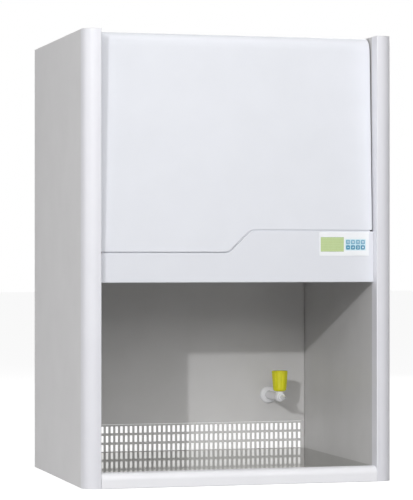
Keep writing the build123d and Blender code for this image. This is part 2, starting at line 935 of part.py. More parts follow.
def ballast():
    """Electronic ballast of the tubes, on top of the ceiling plate."""
    half = ballast_width / 2
    line = Polyline((-half, 0), (-half, ballast_height), (half, ballast_height), (half, 0), close=True)
    section = make_face(line)
    section = fillet(section.vertices().group_by(Axis.Y)[-1], ballast_corner)
    y_middle = (lamp_axis_y + uv_axis_y) / 2
    return Pos(0, y_middle, plate_top) * along_x(section, -ballast_length / 2, ballast_length / 2)


# Display panel and keys


def key_places():
    """Middle of each key, row by row from the top left."""
    places = []
    for row in range(2):
        for column in range(4):
            x_key = display_left + key_first_x + column * key_pitch
            places.append((x_key, display_top - key_first_drop - row * key_rows_pitch))
    return places


def window_place():
    """Middle of the display window."""
    x_middle = display_left + window_left + window_width / 2
    return x_middle, display_top - window_top - window_height / 2


def display_bezel():
    """White panel on the fascia, with the openings of the window and keys, and four pillars."""
    x_middle = (display_left + display_right) / 2
    z_middle = (display_top + display_base) / 2
    plate = Pos(x_middle, z_middle) * RectangleRounded(display_width, display_height, display_corner)
    plate -= Pos(*window_place()) * Rectangle(window_width + 2 * fit_gap, window_height + 2 * fit_gap)
    for place in key_places():
        plate -= Pos(*place) * RectangleRounded(
            key_size + 2 * key_clearance, key_size + 2 * key_clearance, key_corner + key_clearance
        )
    panel = along_y(plate, display_face, fascia_y)
    inset = cutout_margin + pillar_radius + fit_gap
    spots = GridLocations(display_width - 2 * inset, display_height - 2 * inset, 2, 2)
    pillars = Sketch() + spots * Circle(pillar_radius)
    return panel + along_y(Pos(x_middle, z_middle) * pillars, fascia_y, board_y)


def display_window():
    """Display module, from the window to the board."""
    outline = Pos(*window_place()) * Rectangle(window_width, window_height)
    return along_y(outline, display_face + window_inset, board_y)


def key(x_key, z_key):
    """Key cap with the flange that keeps it behind the panel and its stem."""
    place = Pos(x_key, z_key)
    cap = place * RectangleRounded(key_size, key_size, key_corner)
    wide = key_size + 2 * key_flange
    flange = place * RectangleRounded(wide, wide, key_corner + key_flange)
    back = fascia_y + key_clearance / 2
    top = display_face - key_proud
    body = along_y(cap, top, back)
    rim = body.edges().group_by(Axis.Y)[0]
    body = fillet(rim, key_rim)
    body += along_y(flange, back, back + key_flange_thickness)
    stem_end = board_y - dome_height - key_travel - key_clearance / 3
    return body + along_y(place * Circle(key_stem_radius), back + key_flange_thickness, stem_end)


def control_board():
    """Circuit board on the pillars, with a dome switch behind each key."""
    x_middle = (display_left + display_right) / 2
    z_middle = (display_top + display_base) / 2
    width = display_width - 2 * cutout_margin
    height = display_height - 2 * cutout_margin
    outline = Pos(x_middle, z_middle) * Rectangle(width, height)
    board = along_y(outline, board_y, board_y + board_thickness)
    domes = Sketch()
    for place in key_places():
        domes += Pos(*place) * Circle(dome_radius)
    return board + along_y(domes, board_y - dome_height, board_y)


# Gas tap


def rosette():
    """Rounded rosette of the tap against the back wall."""
    section = rectangle(tap_neck_radius + fit_gap, rosette_radius, back_y - rosette_depth, back_y)
    shoulder = section.vertices().group_by(Axis.Y)[0].sort_by(Axis.X)[-1]
    section = fillet(shoulder, rosette_shoulder)
    return Pos(tap_x, 0, tap_height) * revolve(section, Axis.Y)


def tap_body():
    """Cast body of the tap: pipe thread, shank, neck, bulb and bonnet, with the stem's bore."""
    thread_start = shank_end + tap_relief_width
    thread_end = thread_start + tap_thread_length
    rear = thread_end + tap_thread_chamfer
    relief_radius = tap_thread_radius - tap_relief_depth
    shoulder = tap_y + tap_shoulder
    points = [
        (0, rear),
        (tap_thread_radius - tap_thread_chamfer, rear),
        (tap_thread_radius, thread_end),
        (tap_thread_radius, thread_start),
        (relief_radius, thread_start),
        (relief_radius, shank_end),
        (tap_shank_radius, shank_end),
        (tap_shank_radius, back_y),
        (tap_neck_radius, back_y),
        (tap_neck_radius, shoulder),
    ]
    bulge = ThreePointArc(
        (tap_neck_radius, shoulder), (tap_bulb_radius, tap_y), (tap_neck_radius, nozzle_root_y)
    )
    tail = Polyline((tap_neck_radius, nozzle_root_y), (0, nozzle_root_y), (0, rear))
    barrel = revolve(make_face(Polyline(*points) + bulge + tail), Axis.Y)
    barrel = Pos(tap_x, 0, tap_height) * barrel
    bonnet = Pos(tap_x, tap_y) * Circle(bonnet_radius)
    body = barrel + along_z(bonnet, tap_height, bonnet_top)
    rim = body.edges().group_by(Axis.Z)[-1]
    body = chamfer(rim, bonnet_chamfer)
    stem_bore = Pos(tap_x, tap_y) * Circle(stem_radius + stem_running_gap)
    body -= along_z(stem_bore, bonnet_top - stem_depth - stem_end_gap, knob_base)
    nozzle_seat = Pos(tap_x, tap_height) * Circle(nozzle_bore_radius)
    return body - along_y(nozzle_seat, nozzle_root_y - fit_gap, tap_y)


def hose_nozzle():
    """Tapered nozzle with barbs for a gas hose."""
    collar_y = nozzle_root_y - nozzle_collar_length
    barb_y = collar_y - nozzle_neck_length
    tip_y = nozzle_root_y - nozzle_length
    pitch = (barb_y - tip_y) / nozzle_barbs
    taper = (nozzle_root_radius - nozzle_tip_radius) / nozzle_barbs
    points = [
        (nozzle_bore_radius, nozzle_root_y),
        (nozzle_collar_radius, nozzle_root_y),
        (nozzle_collar_radius, collar_y),
        (nozzle_root_radius - nozzle_barb_step, collar_y),
    ]
    for barb in range(nozzle_barbs):
        wide = nozzle_root_radius - barb * taper
        points.append((wide - nozzle_barb_step, barb_y - barb * pitch))
        points.append((wide, barb_y - barb * pitch))
    points.append((nozzle_tip_radius - nozzle_barb_step, tip_y))
    points.append((nozzle_bore_radius, tip_y))
    body = revolve(make_face(Polyline(*points, close=True)), Axis.Y)
    return Pos(tap_x, 0, tap_height) * body


def lock_nut():
    """Hexagon nut that clamps the tap to the back wall from behind."""
    outline = RegularPolygon(nut_across_flats / 2, 6, major_radius=False)
    outline -= Circle(tap_shank_radius + fit_gap)
    near = back_y + sheet
    return along_y(Pos(tap_x, tap_height) * outline, near, near + nut_thickness)


def tap_stem():
    """Stem that turns in the bonnet and carries the knob."""
    stem = Pos(tap_x, tap_y) * Circle(stem_radius)
    return along_z(stem, bonnet_top - stem_depth, knob_base + knob_grip)


def gas_knob():
    """Tapered knob with shallow flutes, a rounded foot and a recess in its top."""
    top = knob_base + knob_height
    slope = FilletPolyline(
        (0, knob_base),
        (knob_foot_radius, knob_base),
        (knob_radius, top),
        (0, top),
        radius=[knob_foot_round, knob_rim_round],
    )
    section = make_face(slope + Line((0, top), (0, knob_base)))
    knob = revolve(Plane.XZ * section, Axis.Z)
    knob -= along_z(Circle(knob_recess_radius), top - knob_recess_depth, top + knob_gap)
    lean = (knob_radius - knob_foot_radius) / knob_height
    out = knob_flute_radius - knob_flute_depth
    low_reach = knob_foot_radius + lean * knob_flute_lift + out
    flute = loft(
        [
            Plane.XY.offset(knob_base + knob_flute_lift) * Pos(low_reach, 0) * Circle(knob_flute_radius),
            Plane.XY.offset(top) * Pos(knob_radius + out, 0) * Circle(knob_flute_radius),
        ]
    )
    for turn in range(knob_flutes):
        knob -= Rot(0, 0, turn * 360 / knob_flutes) * flute
    bore = Circle(stem_radius + stem_running_gap)
    knob -= along_z(bore, bonnet_top, knob_base + knob_grip + stem_end_gap)
    return Pos(tap_x, tap_y, 0) * knob


# Mains inlet


def power_inlet():
    """Mains inlet with two ears, a keyed cavity and three blades."""
    outer = back_y + sheet + inlet_flange_thickness
    flange = RectangleRounded(inlet_flange_width, inlet_flange_height, inlet_flange_height / 3)
    body = along_y(flange, back_y + sheet, outer)
    case = Rectangle(inlet_body_width, inlet_body_height)
    body += along_y(case, outer - inlet_body_depth, outer)
    cavity = Rectangle(inlet_cavity_width, inlet_cavity_height)
    cavity = chamfer(cavity.vertices().group_by(Axis.Y)[-1], inlet_key)
    floor_y = outer - inlet_cavity_depth
    body -= along_y(cavity, floor_y, outer + fit_gap)
    blade = Rectangle(inlet_blade_thickness, inlet_blade_width)
    for column, lift in ((-1, -1), (0, 1), (1, -1)):
        spot = Pos(column * inlet_blade_spacing, lift * inlet_blade_shift)
        body += along_y(spot * blade, floor_y, floor_y + inlet_blade_length)
    return Pos(inlet_x, 0, inlet_height) * body


def build():
    """Makes every piece and writes it."""
    os.makedirs("parts", exist_ok=True)
    both_sides("side_panel", side_panel())
    both_sides("corner_profile", corner_profile())
    both_sides("top_cap", end_cap(True))
    both_sides("foot_cap", end_cap(False))
    both_sides("inner_wall", inner_wall())
    write("base_tray", base_tray())
    write("worktop", worktop())
    write("front_sill", front_sill())
    write("back_wall", back_wall())
    write("rear_grille", rear_grille())
    write("rear_cover", rear_cover())
    write("control_fascia", control_fascia())
    write("cover_buffers", cover_buffers())
    write("front_cover", front_cover())
    write("cabinet_hinge_leaf", at_hinges(hinge_leaf(1, False)))
    write("cover_hinge_leaf", at_hinges(hinge_leaf(-1, True)))
    write("hinge_pin", at_hinges(hinge_pin()))
    write("roof_panel", roof_panel())
    both_sides("prefilter_rail", prefilter_rail())
    write("prefilter", prefilter())
    write("ceiling_plate", ceiling_plate())
    write("diffuser", diffuser())
    write("lower_gasket", gasket(plate_top))
    write("upper_gasket", gasket(filter_top))
    write("filter_frame", filter_frame())
    write("filter_pleats", filter_pleats())
    write("plenum", plenum())
    write("blower_housing", blower_housing())
    write("fan_wheel", fan_wheel())
    write("motor_shaft", motor_shaft())
    write("fan_motor", fan_motor())
    write("lamp_tube", Pos(0, lamp_axis_y, tube_z) * tube(lamp_length))
    write("uv_tube", Pos(0, uv_axis_y, tube_z) * tube(uv_length))
    write("lamp_sockets", lamp_sockets())
    write("lamp_reflector", lamp_reflector())
    write("ballast", ballast())
    write("display_bezel", display_bezel())
    write("display_window", display_window())
    write("control_board", control_board())
    for number, place in enumerate(key_places(), start=1):
        write(f"key_{number}", key(*place))
    write("tap_rosette", rosette())
    write("tap_body", tap_body())
    write("tap_lock_nut", lock_nut())
    write("hose_nozzle", hose_nozzle())
    write("tap_stem", tap_stem())
    write("gas_knob", gas_knob())
    write("power_inlet", power_inlet())


build()
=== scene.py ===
import math

import bpy
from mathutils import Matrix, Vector


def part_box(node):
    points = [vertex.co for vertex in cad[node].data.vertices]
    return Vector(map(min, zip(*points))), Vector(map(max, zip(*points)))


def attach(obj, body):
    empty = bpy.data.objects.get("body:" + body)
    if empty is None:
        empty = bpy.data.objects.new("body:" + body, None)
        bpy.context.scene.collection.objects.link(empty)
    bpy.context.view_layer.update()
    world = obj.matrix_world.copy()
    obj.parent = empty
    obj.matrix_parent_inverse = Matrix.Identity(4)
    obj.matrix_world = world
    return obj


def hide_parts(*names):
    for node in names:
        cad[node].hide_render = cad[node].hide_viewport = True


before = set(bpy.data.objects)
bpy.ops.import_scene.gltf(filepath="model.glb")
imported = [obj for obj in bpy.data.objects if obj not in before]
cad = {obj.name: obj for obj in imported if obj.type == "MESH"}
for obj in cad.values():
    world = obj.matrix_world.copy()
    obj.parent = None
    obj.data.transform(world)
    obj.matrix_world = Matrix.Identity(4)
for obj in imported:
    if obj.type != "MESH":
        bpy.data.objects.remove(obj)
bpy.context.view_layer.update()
scene = bpy.context.scene
scene.view_settings.view_transform = "Standard"

# Camera
# The cabinet is seen from its left front with a long lens. The camera is level and stands at half
# the cabinet's height.
camera_lens = bpy.data.cameras.new("camera")
camera_lens.sensor_width = 36.0
camera_lens.lens = 161.7
camera_lens.shift_y = 0.0136
camera_lens.clip_end = 80.0
camera = bpy.data.objects.new("camera", camera_lens)
camera.location = (-1.5823, -5.6909, 0.5705)
camera_level, camera_yaw = math.radians(90), math.radians(-15.5)
camera.rotation_euler = (camera_level, 0, camera_yaw)
scene.collection.objects.link(camera)
scene.camera = camera


# Studio light, backdrop and floor
# A broad soft light stands in front, smaller ones at the left, above and behind, and one hard lamp
# draws the shadow's edges in the chamber. Seen by the camera, in metal and through glass, floor and
# room are white.
def linear(code):
    """Turns an sRGB hex colour into linear red, green, blue and alpha."""
    parts = [int(code[i : i + 2], 16) / 255 for i in (1, 3, 5)]
    levels = [c / 12.92 if c <= 0.04045 else ((c + 0.055) / 1.055) ** 2.4 for c in parts]
    return (*levels, 1.0)


def add(tree, kind, settings=None, links=None):
    """Adds one node with its settings, and with values or other nodes' outputs on its inputs."""
    node = tree.nodes.new(kind)
    for name, value in (settings or {}).items():
        setattr(node, name, value)
    for name, value in (links or {}).items():
        if isinstance(value, bpy.types.NodeSocket):
            tree.links.new(value, node.inputs[name])
        else:
            node.inputs[name].default_value = value
    return node


def seen_directly(tree):
    """One for rays from the camera, metal or glass, and nought for light that spreads."""
    path = add(tree, "ShaderNodeLightPath")
    view = add(
        tree,
        "ShaderNodeMath",
        {"operation": "MAXIMUM"},
        {0: path.outputs["Is Camera Ray"], 1: path.outputs["Is Glossy Ray"]},
    )
    return add(
        tree,
        "ShaderNodeMath",
        {"operation": "MAXIMUM"},
        {0: view.outputs[0], 1: path.outputs["Is Transmission Ray"]},
    ).outputs[0]


def lamp(name, kind, energy, place, aim):
    """Hangs a lamp at a place and turns it to face the way of aim."""
    data = bpy.data.lights.new(name, kind)
    data.energy = energy
    hung = bpy.data.objects.new(name, data)
    hung.location = place
    hung.rotation_euler = Vector(aim).to_track_quat("-Z", "Y").to_euler()
    scene.collection.objects.link(hung)
    return data


lamp("hard_lamp", "SUN", 0.82, (-2.5, -4.0, 2.0), (0.64, 1.0, -0.359)).angle = math.radians(1.2)
softboxes = (
    ("front_softbox", 78.0, (-0.5, -3.4, 1.9), (0.5, 3.1, -1.3), (4.6, 1.8)),
    ("left_softbox", 15.0, (-3.2, -0.9, 1.2), (2.8, 0.8, -0.6), (1.6, 1.6)),
    ("top_softbox", 20.0, (0.0, -0.8, 3.0), (0.0, 0.0, -1.0), (2.0, 2.0)),
    ("back_softbox", 40.0, (2.5, 3.1, 2.4), (-2.5, -3.1, -1.8), (2.0, 2.0)),
)
for box_name, power, spot, aim, (box_width, box_height) in softboxes:
    softbox = lamp(box_name, "AREA", power, spot, aim)
    softbox.shape = "RECTANGLE"
    softbox.size, softbox.size_y = box_width, box_height

spread_level, seen_level = 0.06, 1.0
room = bpy.data.worlds.new("white_room")
room.use_nodes = True
room.node_tree.nodes.clear()
room_level = add(
    room.node_tree,
    "ShaderNodeMapRange",
    None,
    {"Value": seen_directly(room.node_tree), "To Min": spread_level, "To Max": seen_level},
)
room_light = add(
    room.node_tree,
    "ShaderNodeBackground",
    None,
    {"Color": linear("#FFFFFF"), "Strength": room_level.outputs["Result"]},
)
add(room.node_tree, "ShaderNodeOutputWorld", None, {"Surface": room_light.outputs[0]})
scene.world = room

floor_mesh = bpy.data.meshes.new("floor")
floor_reach, floor_drop = 30.0, 0.0003
floor_mesh.from_pydata(
    [
        (side * floor_reach, depth * floor_reach, -floor_drop)
        for side, depth in ((-1, -1), (1, -1), (1, 1), (-1, 1))
    ],
    [],
    [(0, 1, 2, 3)],
)
floor = bpy.data.objects.new("floor", floor_mesh)
scene.collection.objects.link(floor)
paper = bpy.data.materials.new("white_background_paper")
paper.use_nodes = True
paper.node_tree.nodes.clear()
paper_diffuse = add(paper.node_tree, "ShaderNodeBsdfDiffuse", None, {"Color": linear("#B8B8B8")})
paper_seen_lift = 0.88
paper_lift = add(
    paper.node_tree,
    "ShaderNodeMath",
    {"operation": "MULTIPLY"},
    {0: seen_directly(paper.node_tree), 1: paper_seen_lift},
)
paper_white = add(
    paper.node_tree,
    "ShaderNodeEmission",
    None,
    {"Color": linear("#FFFFFF"), "Strength": paper_lift.outputs[0]},
)
paper_sum = add(
    paper.node_tree,
    "ShaderNodeAddShader",
    None,
    {0: paper_diffuse.outputs[0], 1: paper_white.outputs[0]},
)
add(paper.node_tree, "ShaderNodeOutputMaterial", None, {"Surface": paper_sum.outputs[0]})
floor_mesh.materials.append(paper)


# Base tray
# A shallow tray of galvanised sheet with three welded channels under the worktop. Zinc crystals of
# about 9 mm give each patch its own grey and sheen. Plenum, scroll, wheel and rails are like it.
def surface(name, colour, roughness, metallic=0.0):
    """Starts a material. Gives back the material, its tree, its one shader and the place."""
    material = bpy.data.materials.new(name)
    material.use_nodes = True
    tree = material.node_tree
    tree.nodes.clear()
    shader = add(
        tree,
        "ShaderNodeBsdfPrincipled",
        None,
        {"Base Color": linear(colour), "Roughness": roughness, "Metallic": metallic},
    )
    add(tree, "ShaderNodeOutputMaterial", None, {"Surface": shader.outputs[0]})
    place = add(tree, "ShaderNodeTexCoord").outputs["Object"]
    return material, tree, shader, place


def dress(material, *names):
    """Gives CAD nodes their material."""
    for name in names:
        cad[name].data.materials.clear()
        cad[name].data.materials.append(material)


zinc_cell_mm = 9.0
galvanised, tree, shader, place = surface("galvanised_steel", "#A4A9AB", 0.38, 1.0)
crystals = add(tree, "ShaderNodeTexVoronoi", None, {"Vector": place, "Scale": 1000 / zinc_cell_mm})
tone = add(
    tree,
    "ShaderNodeMix",
    {"data_type": "RGBA"},
    {0: crystals.outputs["Color"], 6: linear("#969C9F"), 7: linear("#B6BBBD")},
)
gloss = add(
    tree,
    "ShaderNodeMapRange",
    None,
    {"Value": crystals.outputs["Color"], "To Min": 0.28, "To Max": 0.48},
)
tree.links.new(tone.outputs[2], shader.inputs["Base Color"])
tree.links.new(gloss.outputs[0], shader.inputs["Roughness"])
dress(
    galvanised,
    "base_tray",
    "plenum",
    "blower_housing",
    "prefilter_rail_left",
    "prefilter_rail_right",
    "fan_wheel",
)

# Worktop
# One sheet of stainless steel with a bright ground finish, folded down behind the sill. It mirrors
# the back wall. Fine grinding lines run across it, drawn 0.6 mm apart so that they show.
steel_line_mm = 0.6
line_shortening = 0.02
wipes_per_metre = 9.0
worktop_steel, tree, shader, place = surface("ground_stainless_steel", "#C6C6C4", 0.09, 0.95)
shader.inputs["Specular Tint"].default_value = linear("#E4E4E2")
stretch = add(
    tree, "ShaderNodeMapping", None, {"Vector": place, "Scale": (line_shortening, 1.0, 1.0)}
)
lines = add(
    tree,
    "ShaderNodeTexNoise",
    None,
    {"Vector": stretch.outputs[0], "Scale": 1000 / steel_line_mm, "Detail": 2.0},
)
line_relief = add(
    tree,
    "ShaderNodeBump",
    None,
    {"Height": lines.outputs["Fac"], "Strength": 0.06, "Distance": 0.0001},
)
wipe_marks = add(
    tree, "ShaderNodeTexNoise", None, {"Vector": place, "Scale": wipes_per_metre, "Detail": 4.0}
)
wipe_gloss = add(
    tree,
    "ShaderNodeMapRange",
    None,
    {"Value": wipe_marks.outputs["Fac"], "To Min": 0.02, "To Max": 0.05},
)
tree.links.new(line_relief.outputs[0], shader.inputs["Normal"])
tree.links.new(wipe_gloss.outputs[0], shader.inputs["Roughness"])
dress(worktop_steel, "worktop")


# Outer sheets and profiles
# Folded steel sheets, and aluminium profiles at the front corners, in a satin powder coat. The coat
# has the faint dimples of baked powder, about 1.5 mm across, and its tone drifts a little over a
# hand's breadth.
def powder_coat(name, colour, deeper, roughness):
    """Satin powder coat: two near tones in broad patches, dimples and a little change of gloss."""
    material, tree, shader, place = surface(name, colour, roughness)
    drift_mm, dimple_mm, gloss_drift = 90, 1.5, 0.05
    shader.inputs["IOR"].default_value = 1.5
    drift = add(
        tree, "ShaderNodeTexNoise", None, {"Vector": place, "Scale": 1000 / drift_mm, "Detail": 2.0}
    )
    tone = add(
        tree,
        "ShaderNodeMix",
        {"data_type": "RGBA"},
        {0: drift.outputs["Fac"], 6: linear(colour), 7: linear(deeper)},
    )
    dimples = add(
        tree,
        "ShaderNodeTexNoise",
        None,
        {"Vector": place, "Scale": 1000 / dimple_mm, "Detail": 1.0},
    )
    relief = add(
        tree,
        "ShaderNodeBump",
        None,
        {"Height": dimples.outputs["Fac"], "Strength": 0.12, "Distance": 0.0002},
    )
    gloss = add(
        tree,
        "ShaderNodeMapRange",
        None,
        {
            "Value": drift.outputs["Fac"],
            "To Min": roughness - gloss_drift,
            "To Max": roughness + gloss_drift,
        },
    )
    tree.links.new(tone.outputs[2], shader.inputs["Base Color"])
    tree.links.new(relief.outputs[0], shader.inputs["Normal"])
    tree.links.new(gloss.outputs[0], shader.inputs["Roughness"])
    return material


coat_white = powder_coat("powder_coat_white", "#E2E4EA", "#DDDFE5", 0.42)
coat_profile = powder_coat("powder_coat_profile", "#E8E8ED", "#E2E2E8", 0.33)
coat_side = powder_coat("powder_coat_side_grey", "#E2E1E2", "#DCDBDC", 0.45)
# The sill's coat is the white coat made lighter: painted light, for the light the floor throws up
# onto the sill.
coat_sill_painted_light = powder_coat("powder_coat_white_painted_light", "#F6F6F9", "#F0F0F4", 0.36)
dress(coat_white, "rear_cover", "roof_panel", "control_fascia", "front_cover")
dress(coat_profile, "corner_profile_left", "corner_profile_right")
dress(coat_sill_painted_light, "front_sill")
dress(coat_side, "side_panel_left", "side_panel_right")


# End caps
# Push-in caps of white moulded polyamide close the profiles at both ends. Their skin has the fine
# grain of a spark-eroded mould.
def moulded(name, colour, deeper, roughness, grain_mm):
    """Moulded plastic with an eroded grain and a faint cloudiness."""
    material, tree, shader, place = surface(name, colour, roughness)
    cloud_mm = 25
    shader.inputs["IOR"].default_value = 1.53
    cloud = add(
        tree, "ShaderNodeTexNoise", None, {"Vector": place, "Scale": 1000 / cloud_mm, "Detail": 3.0}
    )
    tone = add(
        tree,
        "ShaderNodeMix",
        {"data_type": "RGBA"},
        {0: cloud.outputs["Fac"], 6: linear(colour), 7: linear(deeper)},
    )
    grain = add(
        tree, "ShaderNodeTexNoise", None, {"Vector": place, "Scale": 1000 / grain_mm, "Detail": 2.0}
    )
    relief = add(
        tree,
        "ShaderNodeBump",
        None,
        {"Height": grain.outputs["Fac"], "Strength": 0.15, "Distance": 0.0001},
    )
    tree.links.new(tone.outputs[2], shader.inputs["Base Color"])
    tree.links.new(relief.outputs[0], shader.inputs["Normal"])
    return material


cap_polyamide = moulded("moulded_polyamide_white", "#E6E6E9", "#DEDEE2", 0.5, 0.6)
dress(cap_polyamide, "top_cap_left", "top_cap_right", "foot_cap_left", "foot_cap_right")

# Chamber
# The inner walls, back wall, slotted grille, ceiling and diffuser are folded steel sheet in one
# light grey powder coat, which is baked on before they are put together.
chamber_coat = powder_coat("powder_coat_chamber_grey", "#D0CFCF", "#C8C7C6", 0.4)
dress(
    chamber_coat,
    "inner_wall_left",
    "inner_wall_right",
    "back_wall",
    "rear_grille",
    "ceiling_plate",
    "diffuser",
)


# Screws of the back, the roof and the diffuser
# Zinc-plated pan heads with a hexagon socket, 6.5 mm across. They hold the folded sheets to the
# side walls.
sheet = 0.0012
pan_radius, pan_height = 0.00325, 0.0018


def screw_nodes():
    """Geometry nodes that set a pan head with a hexagon socket on every point."""
    crown_share, key_share, full_turn = 0.72, 0.42, 6.28
    tree = bpy.data.node_groups.new("pan_head_screws", "GeometryNodeTree")
    tree.interface.new_socket("Points", in_out="INPUT", socket_type="NodeSocketGeometry")
    for name, size in (("Head Radius", pan_radius), ("Head Height", pan_height)):
        length = tree.interface.new_socket(name, in_out="INPUT", socket_type="NodeSocketFloat")
        length.default_value = size
    tree.interface.new_socket("Facing", in_out="INPUT", socket_type="NodeSocketVector")
    seed = tree.interface.new_socket("Turn Seed", in_out="INPUT", socket_type="NodeSocketInt")
    seed.default_value = 7
    tree.interface.new_socket("Finish", in_out="INPUT", socket_type="NodeSocketMaterial")
    tree.interface.new_socket("Screws", in_out="OUTPUT", socket_type="NodeSocketGeometry")
    given = add(tree, "NodeGroupInput").outputs
    crown_radius = add(
        tree, "ShaderNodeMath", {"operation": "MULTIPLY"}, {0: given["Head Radius"], 1: crown_share}
    )
    key_radius = add(
        tree, "ShaderNodeMath", {"operation": "MULTIPLY"}, {0: given["Head Radius"], 1: key_share}
    )
    head = add(
        tree,
        "GeometryNodeMeshCone",
        {"fill_type": "NGON"},
        {
            "Vertices": 20,
            "Radius Top": crown_radius.outputs[0],
            "Radius Bottom": given["Head Radius"],
            "Depth": given["Head Height"],
        },
    )
    key = add(
        tree,
        "GeometryNodeMeshCylinder",
        {"fill_type": "NGON"},
        {"Vertices": 6, "Radius": key_radius.outputs[0], "Depth": given["Head Height"]},
    )
    lift = add(tree, "ShaderNodeCombineXYZ", None, {"Z": given["Head Height"]})
    raised = add(
        tree,
        "GeometryNodeTransform",
        None,
        {"Geometry": key.outputs[0], "Translation": lift.outputs[0]},
    )
    cut = add(
        tree,
        "GeometryNodeMeshBoolean",
        {"operation": "DIFFERENCE", "solver": "EXACT"},
        {"Mesh 1": head.outputs[0], "Mesh 2": raised.outputs[0]},
    )
    aim = add(tree, "FunctionNodeAlignRotationToVector", {"axis": "Z"}, {"Vector": given["Facing"]})
    placed = add(
        tree,
        "GeometryNodeInstanceOnPoints",
        None,
        {"Points": given["Points"], "Instance": cut.outputs[0], "Rotation": aim.outputs[0]},
    )
    turn = add(
        tree,
        "FunctionNodeRandomValue",
        {"data_type": "FLOAT_VECTOR"},
        {0: (0.0, 0.0, 0.0), 1: (0.0, 0.0, full_turn), "Seed": given["Turn Seed"]},
    )
    turned = add(
        tree,
        "GeometryNodeRotateInstances",
        None,
        {"Instances": placed.outputs[0], "Rotation": turn.outputs[0]},
    )
    real = add(tree, "GeometryNodeRealizeInstances", None, {"Geometry": turned.outputs[0]})
    finished = add(
        tree,
        "GeometryNodeSetMaterial",
        None,
        {"Geometry": real.outputs[0], "Material": given["Finish"]},
    )
    add(tree, "NodeGroupOutput", None, {"Screws": finished.outputs[0]})
    return tree


def shown(name, mesh):
    """Puts a mesh in the scene as an object at the origin."""
    piece = bpy.data.objects.new(name, mesh)
    scene.collection.objects.link(piece)
    return piece


def grown(name, start, tree, values):
    """Runs a geometry tree on a start mesh and gives back the result as a plain object."""
    seed = shown(name + "_start", start)
    modifier = seed.modifiers.new("grow", "NODES")
    modifier.node_group = tree
    inputs = [item for item in tree.interface.items_tree if item.in_out == "INPUT"]
    sockets = {item.name: item.identifier for item in inputs}
    for key, value in values.items():
        modifier[sockets[key]] = value
    view = bpy.context.evaluated_depsgraph_get()
    mesh = bpy.data.meshes.new_from_object(seed.evaluated_get(view))
    bpy.data.objects.remove(seed)
    return shown(name, mesh)


def screws(name, body, facing, points, radius=pan_radius, height=pan_height):
    """A row of screws whose heads face one way."""
    start = bpy.data.meshes.new(name)
    start.from_pydata(points, [], [])
    values = {"Head Radius": radius, "Head Height": height, "Facing": facing, "Finish": screw_zinc}
    piece = grown(name, start, screw_tree, values)
    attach(piece, body)
    return piece


passivation_mm = 4
screw_zinc, tree, shader, place = surface("zinc_plated_steel", "#B9BBBD", 0.3, 1.0)
passivation = add(
    tree,
    "ShaderNodeTexNoise",
    None,
    {"Vector": place, "Scale": 1000 / passivation_mm, "Detail": 3.0},
)
tone = add(
    tree,
    "ShaderNodeMix",
    {"data_type": "RGBA"},
    {0: passivation.outputs["Fac"], 6: linear("#AEB1B6"), 7: linear("#C6C6C2")},
)
tree.links.new(tone.outputs[2], shader.inputs["Base Color"])
screw_tree = screw_nodes()
back_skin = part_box("back_wall")[0].y + sheet
side_screw_x = 0.335
side_rows = [0.135, 0.250, 0.365, 0.480, 0.558, 0.585, 0.700, 0.830, 0.960, 1.090]
screws(
    "back_screws",
    "cabinet",
    (0, 1, 0),
    [(side * side_screw_x, back_skin, height) for side in (-1, 1) for height in side_rows],
)
top_row_pitch, top_row_z = 0.16, 1.119
top_row = [(top_row_pitch * step, back_skin, top_row_z) for step in range(-2, 3)]
screws("roof_back_screws", "cabinet", (0, 1, 0), top_row)
roof_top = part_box("roof_panel")[1].z
roof_screw_x = 0.343
roof_rows = (-0.17, -0.03, 0.11, 0.25)
screws(
    "roof_screws",
    "cabinet",
    (0, 0, 1),
    [(side * roof_screw_x, depth, roof_top) for side in (-1, 1) for depth in roof_rows],
)
diffuser_low, diffuser_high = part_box("diffuser")
rim, middle_pair = 0.0065, 0.098
diffuser_columns = (diffuser_low.x + rim, -middle_pair, middle_pair, diffuser_high.x - rim)
screws(
    "diffuser_screws",
    "cabinet",
    (0, 0, -1),
    [
        (across, depth, diffuser_low.z)
        for across in diffuser_columns
        for depth in (diffuser_low.y + rim, diffuser_high.y - rim)
    ],
    radius=0.0026,
)

# Lamp, germicidal tube, sockets and reflector
# Two tubes hang under the ceiling behind the fascia. The lamp's glass is coated white inside, both
# have aluminium caps and brass pins, and the sockets are white moulded polycarbonate on a gloss
# white reflector.
pin_length, cap_length, pin_slack = 0.006, 0.014, 0.0001
fog_mm = 12


